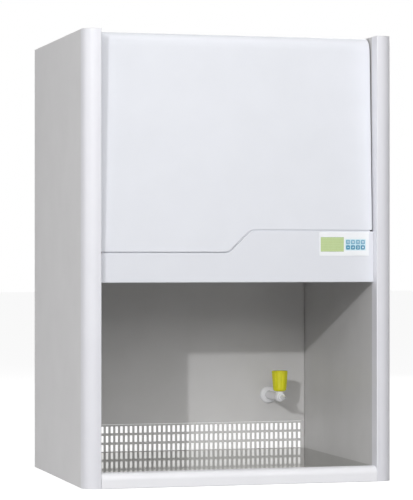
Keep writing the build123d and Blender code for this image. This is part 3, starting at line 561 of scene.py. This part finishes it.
def tube_with_caps(node_name):
    """Coated glass in the middle, an aluminium cap at each end and brass pins beyond the caps."""
    finish, tree, shader, place = surface(node_name + "_glass_and_caps", "#F1F0EA", 0.12)
    shader.inputs["IOR"].default_value = 1.5
    across = add(tree, "ShaderNodeSeparateXYZ", None, {0: place})
    reach_out = add(tree, "ShaderNodeMath", {"operation": "ABSOLUTE"}, {0: across.outputs["X"]})
    half_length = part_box(node_name)[1].x - pin_length
    is_cap = add(
        tree,
        "ShaderNodeMath",
        {"operation": "GREATER_THAN"},
        {0: reach_out.outputs[0], 1: half_length - cap_length},
    )
    is_pin = add(
        tree,
        "ShaderNodeMath",
        {"operation": "GREATER_THAN"},
        {0: reach_out.outputs[0], 1: half_length + pin_slack},
    )
    fog = add(
        tree, "ShaderNodeTexNoise", None, {"Vector": place, "Scale": 1000 / fog_mm, "Detail": 2.0}
    )
    glass_tone = add(
        tree,
        "ShaderNodeMix",
        {"data_type": "RGBA"},
        {0: fog.outputs["Fac"], 6: linear("#F3F2EC"), 7: linear("#EAE9E3")},
    )
    cap_tone = add(
        tree,
        "ShaderNodeMix",
        {"data_type": "RGBA"},
        {0: is_pin.outputs[0], 6: linear("#C9CBCD"), 7: linear("#C8A45A")},
    )
    whole_tone = add(
        tree,
        "ShaderNodeMix",
        {"data_type": "RGBA"},
        {0: is_cap.outputs[0], 6: glass_tone.outputs[2], 7: cap_tone.outputs[2]},
    )
    cap_gloss = add(
        tree,
        "ShaderNodeMapRange",
        None,
        {"Value": is_cap.outputs[0], "To Min": 0.12, "To Max": 0.35},
    )
    tree.links.new(whole_tone.outputs[2], shader.inputs["Base Color"])
    tree.links.new(is_cap.outputs[0], shader.inputs["Metallic"])
    tree.links.new(cap_gloss.outputs[0], shader.inputs["Roughness"])
    return finish


for tube in ("lamp_tube", "uv_tube"):
    dress(tube_with_caps(tube), tube)
socket_plastic = moulded("moulded_polycarbonate_white", "#ECECE8", "#E4E4DF", 0.28, 0.5)
dress(socket_plastic, "lamp_sockets")
reflector_paint = powder_coat("gloss_paint_white", "#F0F0EF", "#EAEAE8", 0.22)
dress(reflector_paint, "lamp_reflector")
ballast_paint = powder_coat("ballast_paint_white", "#DFDFDB", "#D8D8D3", 0.38)
dress(ballast_paint, "ballast")

# Filter
# A frame of fibre board holds glass-fibre paper folded to and fro, sealed above and below by black
# foam cord. Fibres of the board are about 1.2 mm long. The cover rests on pads of the same foam.
board_fibre_mm, paper_felt_mm, foam_cell_mm = 1.2, 2.5, 0.8
board, tree, shader, place = surface("medium_density_fibre_board", "#A98A63", 0.75)
fibres = add(
    tree,
    "ShaderNodeTexNoise",
    None,
    {"Vector": place, "Scale": 1000 / board_fibre_mm, "Detail": 5.0},
)
tone = add(
    tree,
    "ShaderNodeMix",
    {"data_type": "RGBA"},
    {0: fibres.outputs["Fac"], 6: linear("#96774F"), 7: linear("#BC9E77")},
)
relief = add(
    tree,
    "ShaderNodeBump",
    None,
    {"Height": fibres.outputs["Fac"], "Strength": 0.3, "Distance": 0.0002},
)
tree.links.new(tone.outputs[2], shader.inputs["Base Color"])
tree.links.new(relief.outputs[0], shader.inputs["Normal"])
dress(board, "filter_frame")
glass_paper, tree, shader, place = surface("glass_fibre_paper", "#EEEDE8", 0.85)
felt = add(
    tree,
    "ShaderNodeTexNoise",
    None,
    {"Vector": place, "Scale": 1000 / paper_felt_mm, "Detail": 6.0, "Roughness": 0.7},
)
tone = add(
    tree,
    "ShaderNodeMix",
    {"data_type": "RGBA"},
    {0: felt.outputs["Fac"], 6: linear("#E3E2DC"), 7: linear("#F7F6F2")},
)
tree.links.new(tone.outputs[2], shader.inputs["Base Color"])
dress(glass_paper, "filter_pleats")
foam, tree, shader, place = surface("closed_cell_foam", "#232323", 0.9)
cells = add(tree, "ShaderNodeTexVoronoi", None, {"Vector": place, "Scale": 1000 / foam_cell_mm})
tone = add(
    tree,
    "ShaderNodeMix",
    {"data_type": "RGBA"},
    {0: cells.outputs["Distance"], 6: linear("#1B1B1B"), 7: linear("#323232")},
)
relief = add(
    tree,
    "ShaderNodeBump",
    None,
    {"Height": cells.outputs["Distance"], "Strength": 0.5, "Distance": 0.0003},
)
tree.links.new(tone.outputs[2], shader.inputs["Base Color"])
tree.links.new(relief.outputs[0], shader.inputs["Normal"])
dress(foam, "lower_gasket", "upper_gasket", "cover_buffers")

# Blower and motor
# The scroll stands on the plenum with its flange screwed down. The motor's cast end shields are
# stove enamelled black, and its shaft is turned steel with fine tool marks.
housing_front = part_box("blower_housing")[0].y
flange_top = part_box("plenum")[1].z + sheet
flange_screw_x = 0.0635
flange_y = [housing_front + step for step in (0.006, 0.066, 0.110)]
screws(
    "blower_flange_screws",
    "cabinet",
    (0, 0, 1),
    [(side * flange_screw_x, depth, flange_top) for side in (-1, 1) for depth in flange_y],
    radius=0.003,
)
motor_low, motor_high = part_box("fan_motor")
motor_y = (motor_low.y + motor_high.y) / 2
motor_z = (motor_low.z + motor_high.z) / 2
motor_flange, motor_screw_circle = 0.004, 0.049
flange_face = motor_low.x + sheet + motor_flange
motor_turns = [math.radians(45 + 90 * step) for step in range(4)]
screws(
    "motor_flange_screws",
    "cabinet",
    (1, 0, 0),
    [
        (
            flange_face,
            motor_y + motor_screw_circle * math.cos(turn),
            motor_z + motor_screw_circle * math.sin(turn),
        )
        for turn in motor_turns
    ],
    radius=0.0028,
)
cast_grain_mm = 2.2
enamel_black, tree, shader, place = surface("stove_enamel_black", "#202124", 0.35)
cast = add(
    tree,
    "ShaderNodeTexNoise",
    None,
    {"Vector": place, "Scale": 1000 / cast_grain_mm, "Detail": 3.0},
)
tone = add(
    tree,
    "ShaderNodeMix",
    {"data_type": "RGBA"},
    {0: cast.outputs["Fac"], 6: linear("#1B1C1F"), 7: linear("#2A2B2E")},
)
relief = add(
    tree,
    "ShaderNodeBump",
    None,
    {"Height": cast.outputs["Fac"], "Strength": 0.35, "Distance": 0.0004},
)
tree.links.new(tone.outputs[2], shader.inputs["Base Color"])
tree.links.new(relief.outputs[0], shader.inputs["Normal"])
dress(enamel_black, "fan_motor")
# At scale 1 a wave texture repeats every pi / 10 metres.
wave_metres = math.pi / 10
tool_mark_mm = 1.4
turned_steel, tree, shader, place = surface("turned_steel", "#B2B2B0", 0.25, 1.0)
tool_marks = add(
    tree,
    "ShaderNodeTexWave",
    {"bands_direction": "X"},
    {"Vector": place, "Scale": wave_metres * 1000 / tool_mark_mm, "Distortion": 0.4},
)
tone = add(
    tree,
    "ShaderNodeMix",
    {"data_type": "RGBA"},
    {0: tool_marks.outputs["Fac"], 6: linear("#A3A3A1"), 7: linear("#C0C0BE")},
)
tree.links.new(tone.outputs[2], shader.inputs["Base Color"])
dress(turned_steel, "motor_shaft", "tap_stem", "hinge_pin")

# Prefilter
# A pad of bonded polyester fibre in a card frame, folded every 18 mm to gain area. It slides in the
# two rails under the roof.
pleat_pitch, pleat_height, pad_thickness = 0.018, 0.015, 0.003
pad_low, pad_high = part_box("prefilter")


def pleat_nodes():
    """Geometry nodes that bend a flat sheet into even folds and give it its thickness."""
    tree = bpy.data.node_groups.new("pleated_pad", "GeometryNodeTree")
    tree.interface.new_socket("Sheet", in_out="INPUT", socket_type="NodeSocketGeometry")
    for name, size in (
        ("Fold Pitch", pleat_pitch),
        ("Fold Height", pleat_height),
        ("Thickness", pad_thickness),
    ):
        length = tree.interface.new_socket(name, in_out="INPUT", socket_type="NodeSocketFloat")
        length.default_value = size
    tree.interface.new_socket("Finish", in_out="INPUT", socket_type="NodeSocketMaterial")
    tree.interface.new_socket("Pad", in_out="OUTPUT", socket_type="NodeSocketGeometry")
    given = add(tree, "NodeGroupInput").outputs
    place = add(tree, "GeometryNodeInputPosition")
    parts = add(tree, "ShaderNodeSeparateXYZ", None, {0: place.outputs[0]})
    swing = add(
        tree,
        "ShaderNodeMath",
        {"operation": "PINGPONG"},
        {0: parts.outputs["X"], 1: given["Fold Pitch"]},
    )
    share = add(
        tree,
        "ShaderNodeMath",
        {"operation": "DIVIDE"},
        {0: swing.outputs[0], 1: given["Fold Pitch"]},
    )
    eased = add(
        tree,
        "ShaderNodeMapRange",
        {"interpolation_type": "SMOOTHSTEP"},
        {"Value": share.outputs[0]},
    )
    rise = add(
        tree,
        "ShaderNodeMath",
        {"operation": "MULTIPLY"},
        {0: eased.outputs[0], 1: given["Fold Height"]},
    )
    shift = add(tree, "ShaderNodeCombineXYZ", None, {"Z": rise.outputs[0]})
    folded = add(
        tree,
        "GeometryNodeSetPosition",
        None,
        {"Geometry": given["Sheet"], "Offset": shift.outputs[0]},
    )
    thick = add(
        tree,
        "GeometryNodeExtrudeMesh",
        {"mode": "FACES"},
        {
            "Mesh": folded.outputs[0],
            "Offset": (0.0, 0.0, 1.0),
            "Offset Scale": given["Thickness"],
            "Individual": False,
        },
    )
    back = add(tree, "GeometryNodeFlipFaces", None, {"Mesh": folded.outputs[0]})
    both = add(tree, "GeometryNodeJoinGeometry")
    tree.links.new(back.outputs[0], both.inputs[0])
    tree.links.new(thick.outputs[0], both.inputs[0])
    closed = add(
        tree,
        "GeometryNodeMergeByDistance",
        None,
        {"Geometry": both.outputs[0], "Distance": 0.00001},
    )
    soft = add(tree, "GeometryNodeSetShadeSmooth", None, {"Geometry": closed.outputs[0]})
    real = add(tree, "GeometryNodeRealizeInstances", None, {"Geometry": soft.outputs[0]})
    finished = add(
        tree,
        "GeometryNodeSetMaterial",
        None,
        {"Geometry": real.outputs[0], "Material": given["Finish"]},
    )
    add(tree, "NodeGroupOutput", None, {"Pad": finished.outputs[0]})
    return tree


tangle_mm, pulp_mm = 1.6, 1.0
fibre_pad, tree, shader, place = surface("bonded_polyester_fibre", "#E6E6E1", 0.95)
shader.inputs["Sheen Weight"].default_value = 0.3
tangle = add(
    tree,
    "ShaderNodeTexNoise",
    None,
    {"Vector": place, "Scale": 1000 / tangle_mm, "Detail": 8.0, "Roughness": 0.8},
)
tone = add(
    tree,
    "ShaderNodeMix",
    {"data_type": "RGBA"},
    {0: tangle.outputs["Fac"], 6: linear("#CFCFC9"), 7: linear("#F4F4F0")},
)
relief = add(
    tree,
    "ShaderNodeBump",
    None,
    {"Height": tangle.outputs["Fac"], "Strength": 0.6, "Distance": 0.0008},
)
tree.links.new(tone.outputs[2], shader.inputs["Base Color"])
tree.links.new(relief.outputs[0], shader.inputs["Normal"])
edge, pad_lift, steps_per_fold = 0.004, 0.002, 8
columns = round((pad_high.x - pad_low.x - 2 * edge) / pleat_pitch * steps_per_fold)
sheet_mesh = bpy.data.meshes.new("prefilter_sheet")
corners = []
for column in range(columns + 1):
    along = pad_low.x + edge + (pad_high.x - pad_low.x - 2 * edge) * column / columns
    for depth in (pad_low.y + edge, pad_high.y - edge):
        corners.append((along, depth, pad_low.z + pad_lift))
faces = [(2 * k, 2 * k + 2, 2 * k + 3, 2 * k + 1) for k in range(columns)]
sheet_mesh.from_pydata(corners, [], faces)
pad = grown(
    "prefilter_pad",
    sheet_mesh,
    pleat_nodes(),
    {
        "Fold Pitch": pleat_pitch / 2,
        "Fold Height": pleat_height,
        "Thickness": pad_thickness,
        "Finish": fibre_pad,
    },
)
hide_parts("prefilter")
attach(pad, "cabinet")


def rounded_box(name, low, high, radius):
    """A box with rounded edges between two corners."""
    mesh = bpy.data.meshes.new(name)
    heights, depths, widths = (low[2], high[2]), (low[1], high[1]), (low[0], high[0])
    spots = [(x, y, z) for z in heights for y in depths for x in widths]
    sides = [(0, 2, 3, 1), (4, 5, 7, 6), (0, 1, 5, 4), (2, 6, 7, 3), (0, 4, 6, 2), (1, 3, 7, 5)]
    mesh.from_pydata(spots, [], sides)
    piece = shown(name, mesh)
    bevel = piece.modifiers.new("rounding", "BEVEL")
    bevel.width = radius
    bevel.segments = 3
    return piece


def joined(name, pieces):
    """Joins finished pieces into one plain mesh."""
    view = bpy.context.evaluated_depsgraph_get()
    spots = []
    faces = []
    for piece in pieces:
        mesh = piece.evaluated_get(view).to_mesh()
        start = len(spots)
        spots += [tuple(piece.matrix_world @ v.co) for v in mesh.vertices]
        faces += [tuple(start + k for k in face.vertices) for face in mesh.polygons]
        piece.evaluated_get(view).to_mesh_clear()
    for piece in pieces:
        bpy.data.objects.remove(piece)
    mesh = bpy.data.meshes.new(name)
    mesh.from_pydata(spots, [], faces)
    return shown(name, mesh)


card_width, card_rounding = 0.0035, 0.0004
inner_front, inner_back = pad_low.y + card_width, pad_high.y - card_width
card_strips = (
    (pad_low, (pad_high.x, inner_front, pad_high.z)),
    ((pad_low.x, inner_back, pad_low.z), pad_high),
    ((pad_low.x, inner_front, pad_low.z), (pad_low.x + card_width, inner_back, pad_high.z)),
    ((pad_high.x - card_width, inner_front, pad_low.z), (pad_high.x, inner_back, pad_high.z)),
)
card_frame = joined(
    "prefilter_card",
    [rounded_box("card_strip", low, high, card_rounding) for low, high in card_strips],
)
card, tree, shader, place = surface("grey_card", "#CDC9BF", 0.8)
pulp = add(
    tree, "ShaderNodeTexNoise", None, {"Vector": place, "Scale": 1000 / pulp_mm, "Detail": 4.0}
)
tone = add(
    tree,
    "ShaderNodeMix",
    {"data_type": "RGBA"},
    {0: pulp.outputs["Fac"], 6: linear("#C0BCB1"), 7: linear("#D8D4CB")},
)
tree.links.new(tone.outputs[2], shader.inputs["Base Color"])
card_frame.data.materials.append(card)
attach(card_frame, "cabinet")

# Mains inlet
# A moulded black polyamide inlet with nickel-plated blades in its cavity. It fills a cut-out of the
# rear cover, and two screws hold it through its ears.
ear_screw_x, blade_depth = 0.0197, 0.0125
blade_reach = {"X": 0.0095, "Y": 0.00545, "Z": 0.006}
inlet_low, inlet_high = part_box("power_inlet")
inlet_x = (inlet_low.x + inlet_high.x) / 2
inlet_z = (inlet_low.z + inlet_high.z) / 2
inlet_plastic = moulded("moulded_black_polyamide", "#26272A", "#1E1F22", 0.45, 0.5)
tree = inlet_plastic.node_tree
shader = next(n for n in tree.nodes if n.type == "BSDF_PRINCIPLED")
place = next(n for n in tree.nodes if n.type == "TEX_COORD").outputs["Object"]
centre = add(
    tree,
    "ShaderNodeVectorMath",
    {"operation": "SUBTRACT"},
    {0: place, 1: (inlet_x, inlet_high.y - blade_depth, inlet_z)},
)
around = add(tree, "ShaderNodeVectorMath", {"operation": "ABSOLUTE"}, {0: centre.outputs[0]})
apart = add(tree, "ShaderNodeSeparateXYZ", None, {0: around.outputs[0]})
in_x, in_y, in_z = [
    add(tree, "ShaderNodeMath", {"operation": "LESS_THAN"}, {0: apart.outputs[axis], 1: half})
    for axis, half in blade_reach.items()
]
in_xy = add(
    tree, "ShaderNodeMath", {"operation": "MULTIPLY"}, {0: in_x.outputs[0], 1: in_y.outputs[0]}
)
is_blade = add(
    tree, "ShaderNodeMath", {"operation": "MULTIPLY"}, {0: in_xy.outputs[0], 1: in_z.outputs[0]}
)
plastic_tone = shader.inputs["Base Color"].links[0].from_socket
blade_tone = add(
    tree,
    "ShaderNodeMix",
    {"data_type": "RGBA"},
    {0: is_blade.outputs[0], 6: plastic_tone, 7: linear("#C4C2BC")},
)
tree.links.new(blade_tone.outputs[2], shader.inputs["Base Color"])
tree.links.new(is_blade.outputs[0], shader.inputs["Metallic"])
dress(inlet_plastic, "power_inlet")
screws(
    "inlet_screws",
    "cabinet",
    (0, 1, 0),
    [(inlet_x + side * ear_screw_x, inlet_high.y, inlet_z) for side in (-1, 1)],
    radius=0.0026,
    height=0.0016,
)

# Display panel
# A white printed foil on a moulded plate, with a pale blue field round the keys. Behind its window
# is an unlit green character display, whose cells show faintly.
fade_width = 0.003
cell_width, cell_height, cell_gap = 0.00335, 0.0062, 0.00045
cells_left, cells_down = 0.004, 0.008
key_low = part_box("key_5")[0]
key_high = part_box("key_4")[1]
panel_foil = moulded("printed_foil_white", "#F4F6F8", "#EEF1F4", 0.4, 0.8)
tree = panel_foil.node_tree
shader = next(n for n in tree.nodes if n.type == "BSDF_PRINCIPLED")
place = next(n for n in tree.nodes if n.type == "TEX_COORD").outputs["Object"]
field_centre = ((key_low.x + key_high.x) / 2, 0.0, (key_low.z + key_high.z) / 2)
offset = add(tree, "ShaderNodeVectorMath", {"operation": "SUBTRACT"}, {0: place, 1: field_centre})
spread = add(tree, "ShaderNodeVectorMath", {"operation": "ABSOLUTE"}, {0: offset.outputs[0]})
apart = add(tree, "ShaderNodeSeparateXYZ", None, {0: spread.outputs[0]})
half_field = {"X": (key_high.x - key_low.x) / 2, "Z": (key_high.z - key_low.z) / 2}
fade_x, fade_z = [
    add(
        tree,
        "ShaderNodeMapRange",
        None,
        {"Value": apart.outputs[axis], "From Min": half + fade_width, "From Max": half},
    )
    for axis, half in half_field.items()
]
field = add(
    tree, "ShaderNodeMath", {"operation": "MULTIPLY"}, {0: fade_x.outputs[0], 1: fade_z.outputs[0]}
)
foil_tone = shader.inputs["Base Color"].links[0].from_socket
field_tone = add(
    tree,
    "ShaderNodeMix",
    {"data_type": "RGBA"},
    {0: field.outputs[0], 6: foil_tone, 7: linear("#CDEBF3")},
)
tree.links.new(field_tone.outputs[2], shader.inputs["Base Color"])
dress(panel_foil, "display_bezel")

display_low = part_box("display_window")[0]
display_green, tree, shader, place = surface("liquid_crystal_green", "#C3D79C", 0.18)
shader.inputs["IOR"].default_value = 1.5
shader.inputs["Coat Weight"].default_value = 0.5
moved = add(
    tree,
    "ShaderNodeMapping",
    None,
    {
        "Vector": place,
        "Location": (-display_low.x - cells_left, display_low.z + cells_down, 0.0),
        "Rotation": (math.radians(-90), 0, 0),
    },
)
cells = add(
    tree,
    "ShaderNodeTexBrick",
    {"offset": 0.0, "squash": 1.0},
    {
        "Vector": moved.outputs[0],
        "Scale": 1.0,
        "Brick Width": cell_width,
        "Row Height": cell_height,
        "Mortar Size": cell_gap,
        "Mortar Smooth": 0.3,
        "Color1": linear("#B9CD90"),
        "Color2": linear("#BCD094"),
        "Mortar": linear("#C6DA9F"),
    },
)
tree.links.new(cells.outputs["Color"], shader.inputs["Base Color"])
dress(display_green, "display_window")

# Keys
# Eight moulded keys, the upper row in a paler blue than the lower. Each carries a white printed
# sign of 0.05 mm thick ink: mains, lamp, tube, fan, less, more, clock and stop.
ink, millimetre, ink_cover_mm = 0.00005, 0.001, 0.5
key_blue_pale = moulded("moulded_key_blue_pale", "#7FB3CC", "#76AAC4", 0.4, 0.4)
key_blue_deep = moulded("moulded_key_blue", "#4B97B8", "#418DAF", 0.4, 0.4)
dress(key_blue_pale, "key_1", "key_2", "key_3", "key_4")
dress(key_blue_deep, "key_5", "key_6", "key_7", "key_8")
key_ink, tree, shader, place = surface("screen_ink_white", "#F2F6F8", 0.5)
ink_cover = add(
    tree, "ShaderNodeTexNoise", None, {"Vector": place, "Scale": 1000 / ink_cover_mm, "Detail": 1.0}
)
tone = add(
    tree,
    "ShaderNodeMix",
    {"data_type": "RGBA"},
    {0: ink_cover.outputs["Fac"], 6: linear("#EAF1F5"), 7: linear("#F9FBFC")},
)
tree.links.new(tone.outputs[2], shader.inputs["Base Color"])


def stroke(x_start, z_start, x_end, z_end, width=0.6):
    """A straight ink stroke between two points, in millimetres."""
    run = Vector((x_end - x_start, z_end - z_start))
    aside = Vector((-run.y, run.x)).normalized() * width / 2
    ends = [Vector((x_start, z_start)), Vector((x_end, z_end))]
    return [[ends[0] + aside, ends[0] - aside, ends[1] - aside, ends[1] + aside]]


def arc_stroke(radius, first, last, width=0.6, steps=20):
    """An ink stroke along an arc between two angles in degrees."""
    turns = [math.radians(first + (last - first) * k / steps) for k in range(steps + 1)]
    inner, outer = radius - width / 2, radius + width / 2
    return [
        [
            Vector((inner * math.cos(a), inner * math.sin(a))),
            Vector((outer * math.cos(a), outer * math.sin(a))),
            Vector((outer * math.cos(b), outer * math.sin(b))),
            Vector((inner * math.cos(b), inner * math.sin(b))),
        ]
        for a, b in zip(turns, turns[1:])
    ]


def rays(inner, outer, count, width=0.5):
    """Ink strokes that point outwards all round."""
    strokes = []
    for step in range(count):
        turn = math.radians(360 / count * step)
        way = Vector((math.cos(turn), math.sin(turn)))
        strokes += stroke(*(way * inner), *(way * outer), width)
    return strokes


fan_radius, fan_step = 2.9, 14
fan_blades = []
for blade in range(3):
    turns = [math.radians(120 * blade + k * fan_step) for k in range(5)]
    tips = [Vector((math.cos(a), math.sin(a))) * fan_radius for a in turns]
    fan_blades.append([Vector((0, 0)), *tips])
tube_rays = [
    *stroke(-1.8, -0.6, -2.2, -2.2), *stroke(0, -0.6, 0, -2.4), *stroke(1.8, -0.6, 2.2, -2.2)
]
signs = {
    "key_1": arc_stroke(2.5, 120, 420) + stroke(0, 0.6, 0, 3.2),
    "key_2": arc_stroke(0.8, 0, 360, 1.6) + rays(2.1, 3.3, 8),
    "key_3": stroke(-2.6, 0.9, 2.6, 0.9, 1.0) + tube_rays,
    "key_4": fan_blades,
    "key_5": stroke(-2.4, 0, 2.4, 0, 0.9),
    "key_6": stroke(-2.4, 0, 2.4, 0, 0.9) + stroke(0, -2.4, 0, 2.4, 0.9),
    "key_7": arc_stroke(2.6, 0, 360) + stroke(0, 0, 0, 1.8) + stroke(0, 0, 1.4, -0.8),
    "key_8": stroke(-1.9, 0, 1.9, 0, 3.8),
}
for key_name, polygons in signs.items():
    low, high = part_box(key_name)
    middle_x, middle_z = (low.x + high.x) / 2, (low.z + high.z) / 2
    spots = []
    faces = []
    for polygon in polygons:
        area = sum(a.x * b.y - b.x * a.y for a, b in zip(polygon, polygon[1:] + polygon[:1]))
        outline = polygon if area > 0 else polygon[::-1]
        start = len(spots)
        count = len(outline)
        for depth in (low.y - ink, low.y):
            spots += [
                (middle_x + p.x * millimetre, depth, middle_z + p.y * millimetre) for p in outline
            ]
        faces.append(tuple(range(start, start + count)))
        faces.append(tuple(reversed(range(start + count, start + 2 * count))))
        for k in range(count):
            after = (k + 1) % count
            faces.append((start + after, start + k, start + count + k, start + count + after))
    sign_mesh = bpy.data.meshes.new(key_name + "_sign")
    sign_mesh.from_pydata(spots, [], faces)
    sign_mesh.materials.append(key_ink)
    sign = shown(key_name + "_sign", sign_mesh)
    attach(sign, key_name)

# Circuit board
# Glass-fibre board in green solder mask with copper tracks about 2 mm apart. A tinned dome switch
# stands under each key and springs it back.
track_length, track_pitch, track_gap = 0.014, 0.0022, 0.0003
board_front, dome_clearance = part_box("control_board")[0].y, 0.00025
board_mask, tree, shader, place = surface("solder_mask_green", "#1F5A38", 0.3)
upright = add(
    tree, "ShaderNodeMapping", None, {"Vector": place, "Rotation": (math.radians(-90), 0, 0)}
)
tracks = add(
    tree,
    "ShaderNodeTexBrick",
    {"offset": 0.5},
    {
        "Vector": upright.outputs[0],
        "Scale": 1.0,
        "Brick Width": track_length,
        "Row Height": track_pitch,
        "Mortar Size": track_gap,
        "Color1": linear("#1D5635"),
        "Color2": linear("#215D3B"),
        "Mortar": linear("#35764F"),
    },
)
depth = add(tree, "ShaderNodeSeparateXYZ", None, {0: place})
is_dome = add(
    tree,
    "ShaderNodeMath",
    {"operation": "LESS_THAN"},
    {0: depth.outputs["Y"], 1: board_front + dome_clearance},
)
tone = add(
    tree,
    "ShaderNodeMix",
    {"data_type": "RGBA"},
    {0: is_dome.outputs[0], 6: tracks.outputs["Color"], 7: linear("#BDBDB8")},
)
tree.links.new(tone.outputs[2], shader.inputs["Base Color"])
tree.links.new(is_dome.outputs[0], shader.inputs["Metallic"])
dress(board_mask, "control_board")

# Front cover's hinges
# Each hinge has two galvanised leaves on a steel pin. One leaf is riveted under the roof, the other
# under the cover's top, with three rivets each.
dress(galvanised, "cabinet_hinge_leaf", "cover_hinge_leaf")
hinge_x, rivet_pitch, rivet_reach = 0.24, 0.02, 0.018
pin_low, pin_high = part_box("hinge_pin")
pin_y = (pin_low.y + pin_high.y) / 2
rivet_columns = [side * hinge_x + step * rivet_pitch for side in (-1, 1) for step in (-1, 0, 1)]
for row_name, body, reach in (
    ("roof_rivets", "cabinet", rivet_reach),
    ("cover_rivets", "cover", -rivet_reach),
):
    rivets = [(across, pin_y + reach, roof_top) for across in rivet_columns]
    screws(row_name, body, (0, 0, 1), rivets, radius=0.0024, height=0.0012)

# Gas tap
# A brass casting in white epoxy enamel, with a rosette on the wall. Behind the wall its threaded
# tail is bare brass with 1.34 mm pitch, clamped by a brass nut.
thread_pitch_mm, enamel_peel_mm, drawn_brass_mm = 1.34, 2.5, 1.5
enamel_white, tree, shader, place = surface("epoxy_enamel_white", "#E9E9EC", 0.2)
shader.inputs["IOR"].default_value = 1.5
shader.inputs["Coat Weight"].default_value = 0.4
depth = add(tree, "ShaderNodeSeparateXYZ", None, {0: place})
is_tail = add(
    tree,
    "ShaderNodeMath",
    {"operation": "GREATER_THAN"},
    {0: depth.outputs["Y"], 1: back_skin - sheet},
)
orange_peel = add(
    tree,
    "ShaderNodeTexNoise",
    None,
    {"Vector": place, "Scale": 1000 / enamel_peel_mm, "Detail": 2.0},
)
enamel_tone = add(
    tree,
    "ShaderNodeMix",
    {"data_type": "RGBA"},
    {0: orange_peel.outputs["Fac"], 6: linear("#E4E4E7"), 7: linear("#EEEEF1")},
)
tone = add(
    tree,
    "ShaderNodeMix",
    {"data_type": "RGBA"},
    {0: is_tail.outputs[0], 6: enamel_tone.outputs[2], 7: linear("#C9A45A")},
)
thread = add(
    tree,
    "ShaderNodeTexWave",
    {"bands_direction": "Y", "wave_profile": "TRI"},
    {"Vector": place, "Scale": wave_metres * 1000 / thread_pitch_mm},
)
thread_height = add(
    tree,
    "ShaderNodeMath",
    {"operation": "MULTIPLY"},
    {0: thread.outputs["Fac"], 1: is_tail.outputs[0]},
)
thread_relief = add(
    tree,
    "ShaderNodeBump",
    None,
    {"Height": thread_height.outputs[0], "Strength": 1.0, "Distance": 0.0008},
)
tree.links.new(tone.outputs[2], shader.inputs["Base Color"])
tree.links.new(is_tail.outputs[0], shader.inputs["Metallic"])
tree.links.new(thread_relief.outputs[0], shader.inputs["Normal"])
dress(enamel_white, "tap_body", "tap_rosette", "hose_nozzle")
nut_brass, tree, shader, place = surface("machined_brass", "#CBA65C", 0.28, 1.0)
drawn = add(
    tree,
    "ShaderNodeTexNoise",
    None,
    {"Vector": place, "Scale": 1000 / drawn_brass_mm, "Detail": 3.0},
)
tone = add(
    tree,
    "ShaderNodeMix",
    {"data_type": "RGBA"},
    {0: drawn.outputs["Fac"], 6: linear("#BE9750"), 7: linear("#D6B36B")},
)
tree.links.new(tone.outputs[2], shader.inputs["Base Color"])
dress(nut_brass, "tap_lock_nut")

# Gas knob
# Moulded polyamide in the yellow that marks gas, with eight shallow flutes for grip. It is pushed
# on its stem. A plug in the recess on its top is dark olive, as painted shade of the recess.
flow_mm, recess_depth = 10, 0.003
knob_yellow, tree, shader, place = surface("moulded_polyamide_yellow", "#DCD813", 0.25)
shader.inputs["IOR"].default_value = 1.53
shader.inputs["Subsurface Weight"].default_value = 0.08
shader.inputs["Subsurface Scale"].default_value = 0.004
flow = add(
    tree, "ShaderNodeTexNoise", None, {"Vector": place, "Scale": 1000 / flow_mm, "Detail": 2.0}
)
tone = add(
    tree,
    "ShaderNodeMix",
    {"data_type": "RGBA"},
    {0: flow.outputs["Fac"], 6: linear("#D3CF0E"), 7: linear("#E4E01C")},
)
tree.links.new(tone.outputs[2], shader.inputs["Base Color"])
dress(knob_yellow, "gas_knob")
knob_low, knob_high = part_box("gas_knob")
knob_x, knob_y = (knob_low.x + knob_high.x) / 2, (knob_low.y + knob_high.y) / 2


def turned(name, x_axis, y_axis, profile, steps=40):
    """A body of revolution about an upright axis, from its profile of radius and height."""
    spots = []
    faces = []
    for step in range(steps):
        turn = 2 * math.pi * step / steps
        for radius, height in profile[1:-1]:
            across, along = radius * math.cos(turn), radius * math.sin(turn)
            spots.append((x_axis + across, y_axis + along, height))
    rings = len(profile) - 2
    low_pole, high_pole = len(spots), len(spots) + 1
    spots += [(x_axis, y_axis, profile[0][1]), (x_axis, y_axis, profile[-1][1])]
    for step in range(steps):
        here, there = step * rings, (step + 1) % steps * rings
        for ring in range(rings - 1):
            faces.append((here + ring, there + ring, there + ring + 1, here + ring + 1))
        faces.append((low_pole, there, here))
        faces.append((high_pole, here + rings - 1, there + rings - 1))
    mesh = bpy.data.meshes.new(name)
    mesh.from_pydata(spots, [], faces)
    return shown(name, mesh)


plug_base, plug_radius, crown_radius = knob_high.z - recess_depth, 0.0078, 0.0072
plug = turned(
    "knob_plug",
    knob_x,
    knob_y,
    [
        (0, plug_base),
        (plug_radius, plug_base),
        (plug_radius, plug_base + 0.0012),
        (crown_radius, plug_base + 0.0018),
        (0.0035, plug_base + 0.0020),
        (0, plug_base + 0.0014),
    ],
)
# The plug's dark olive is painted shade: it stands for the shade that falls into the knob's recess.
knob_recess_shade_paint = moulded("painted_shade_in_knob_recess", "#3A3A14", "#2E2E10", 0.4, 0.4)
plug.data.materials.append(knob_recess_shade_paint)
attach(plug, "knob")
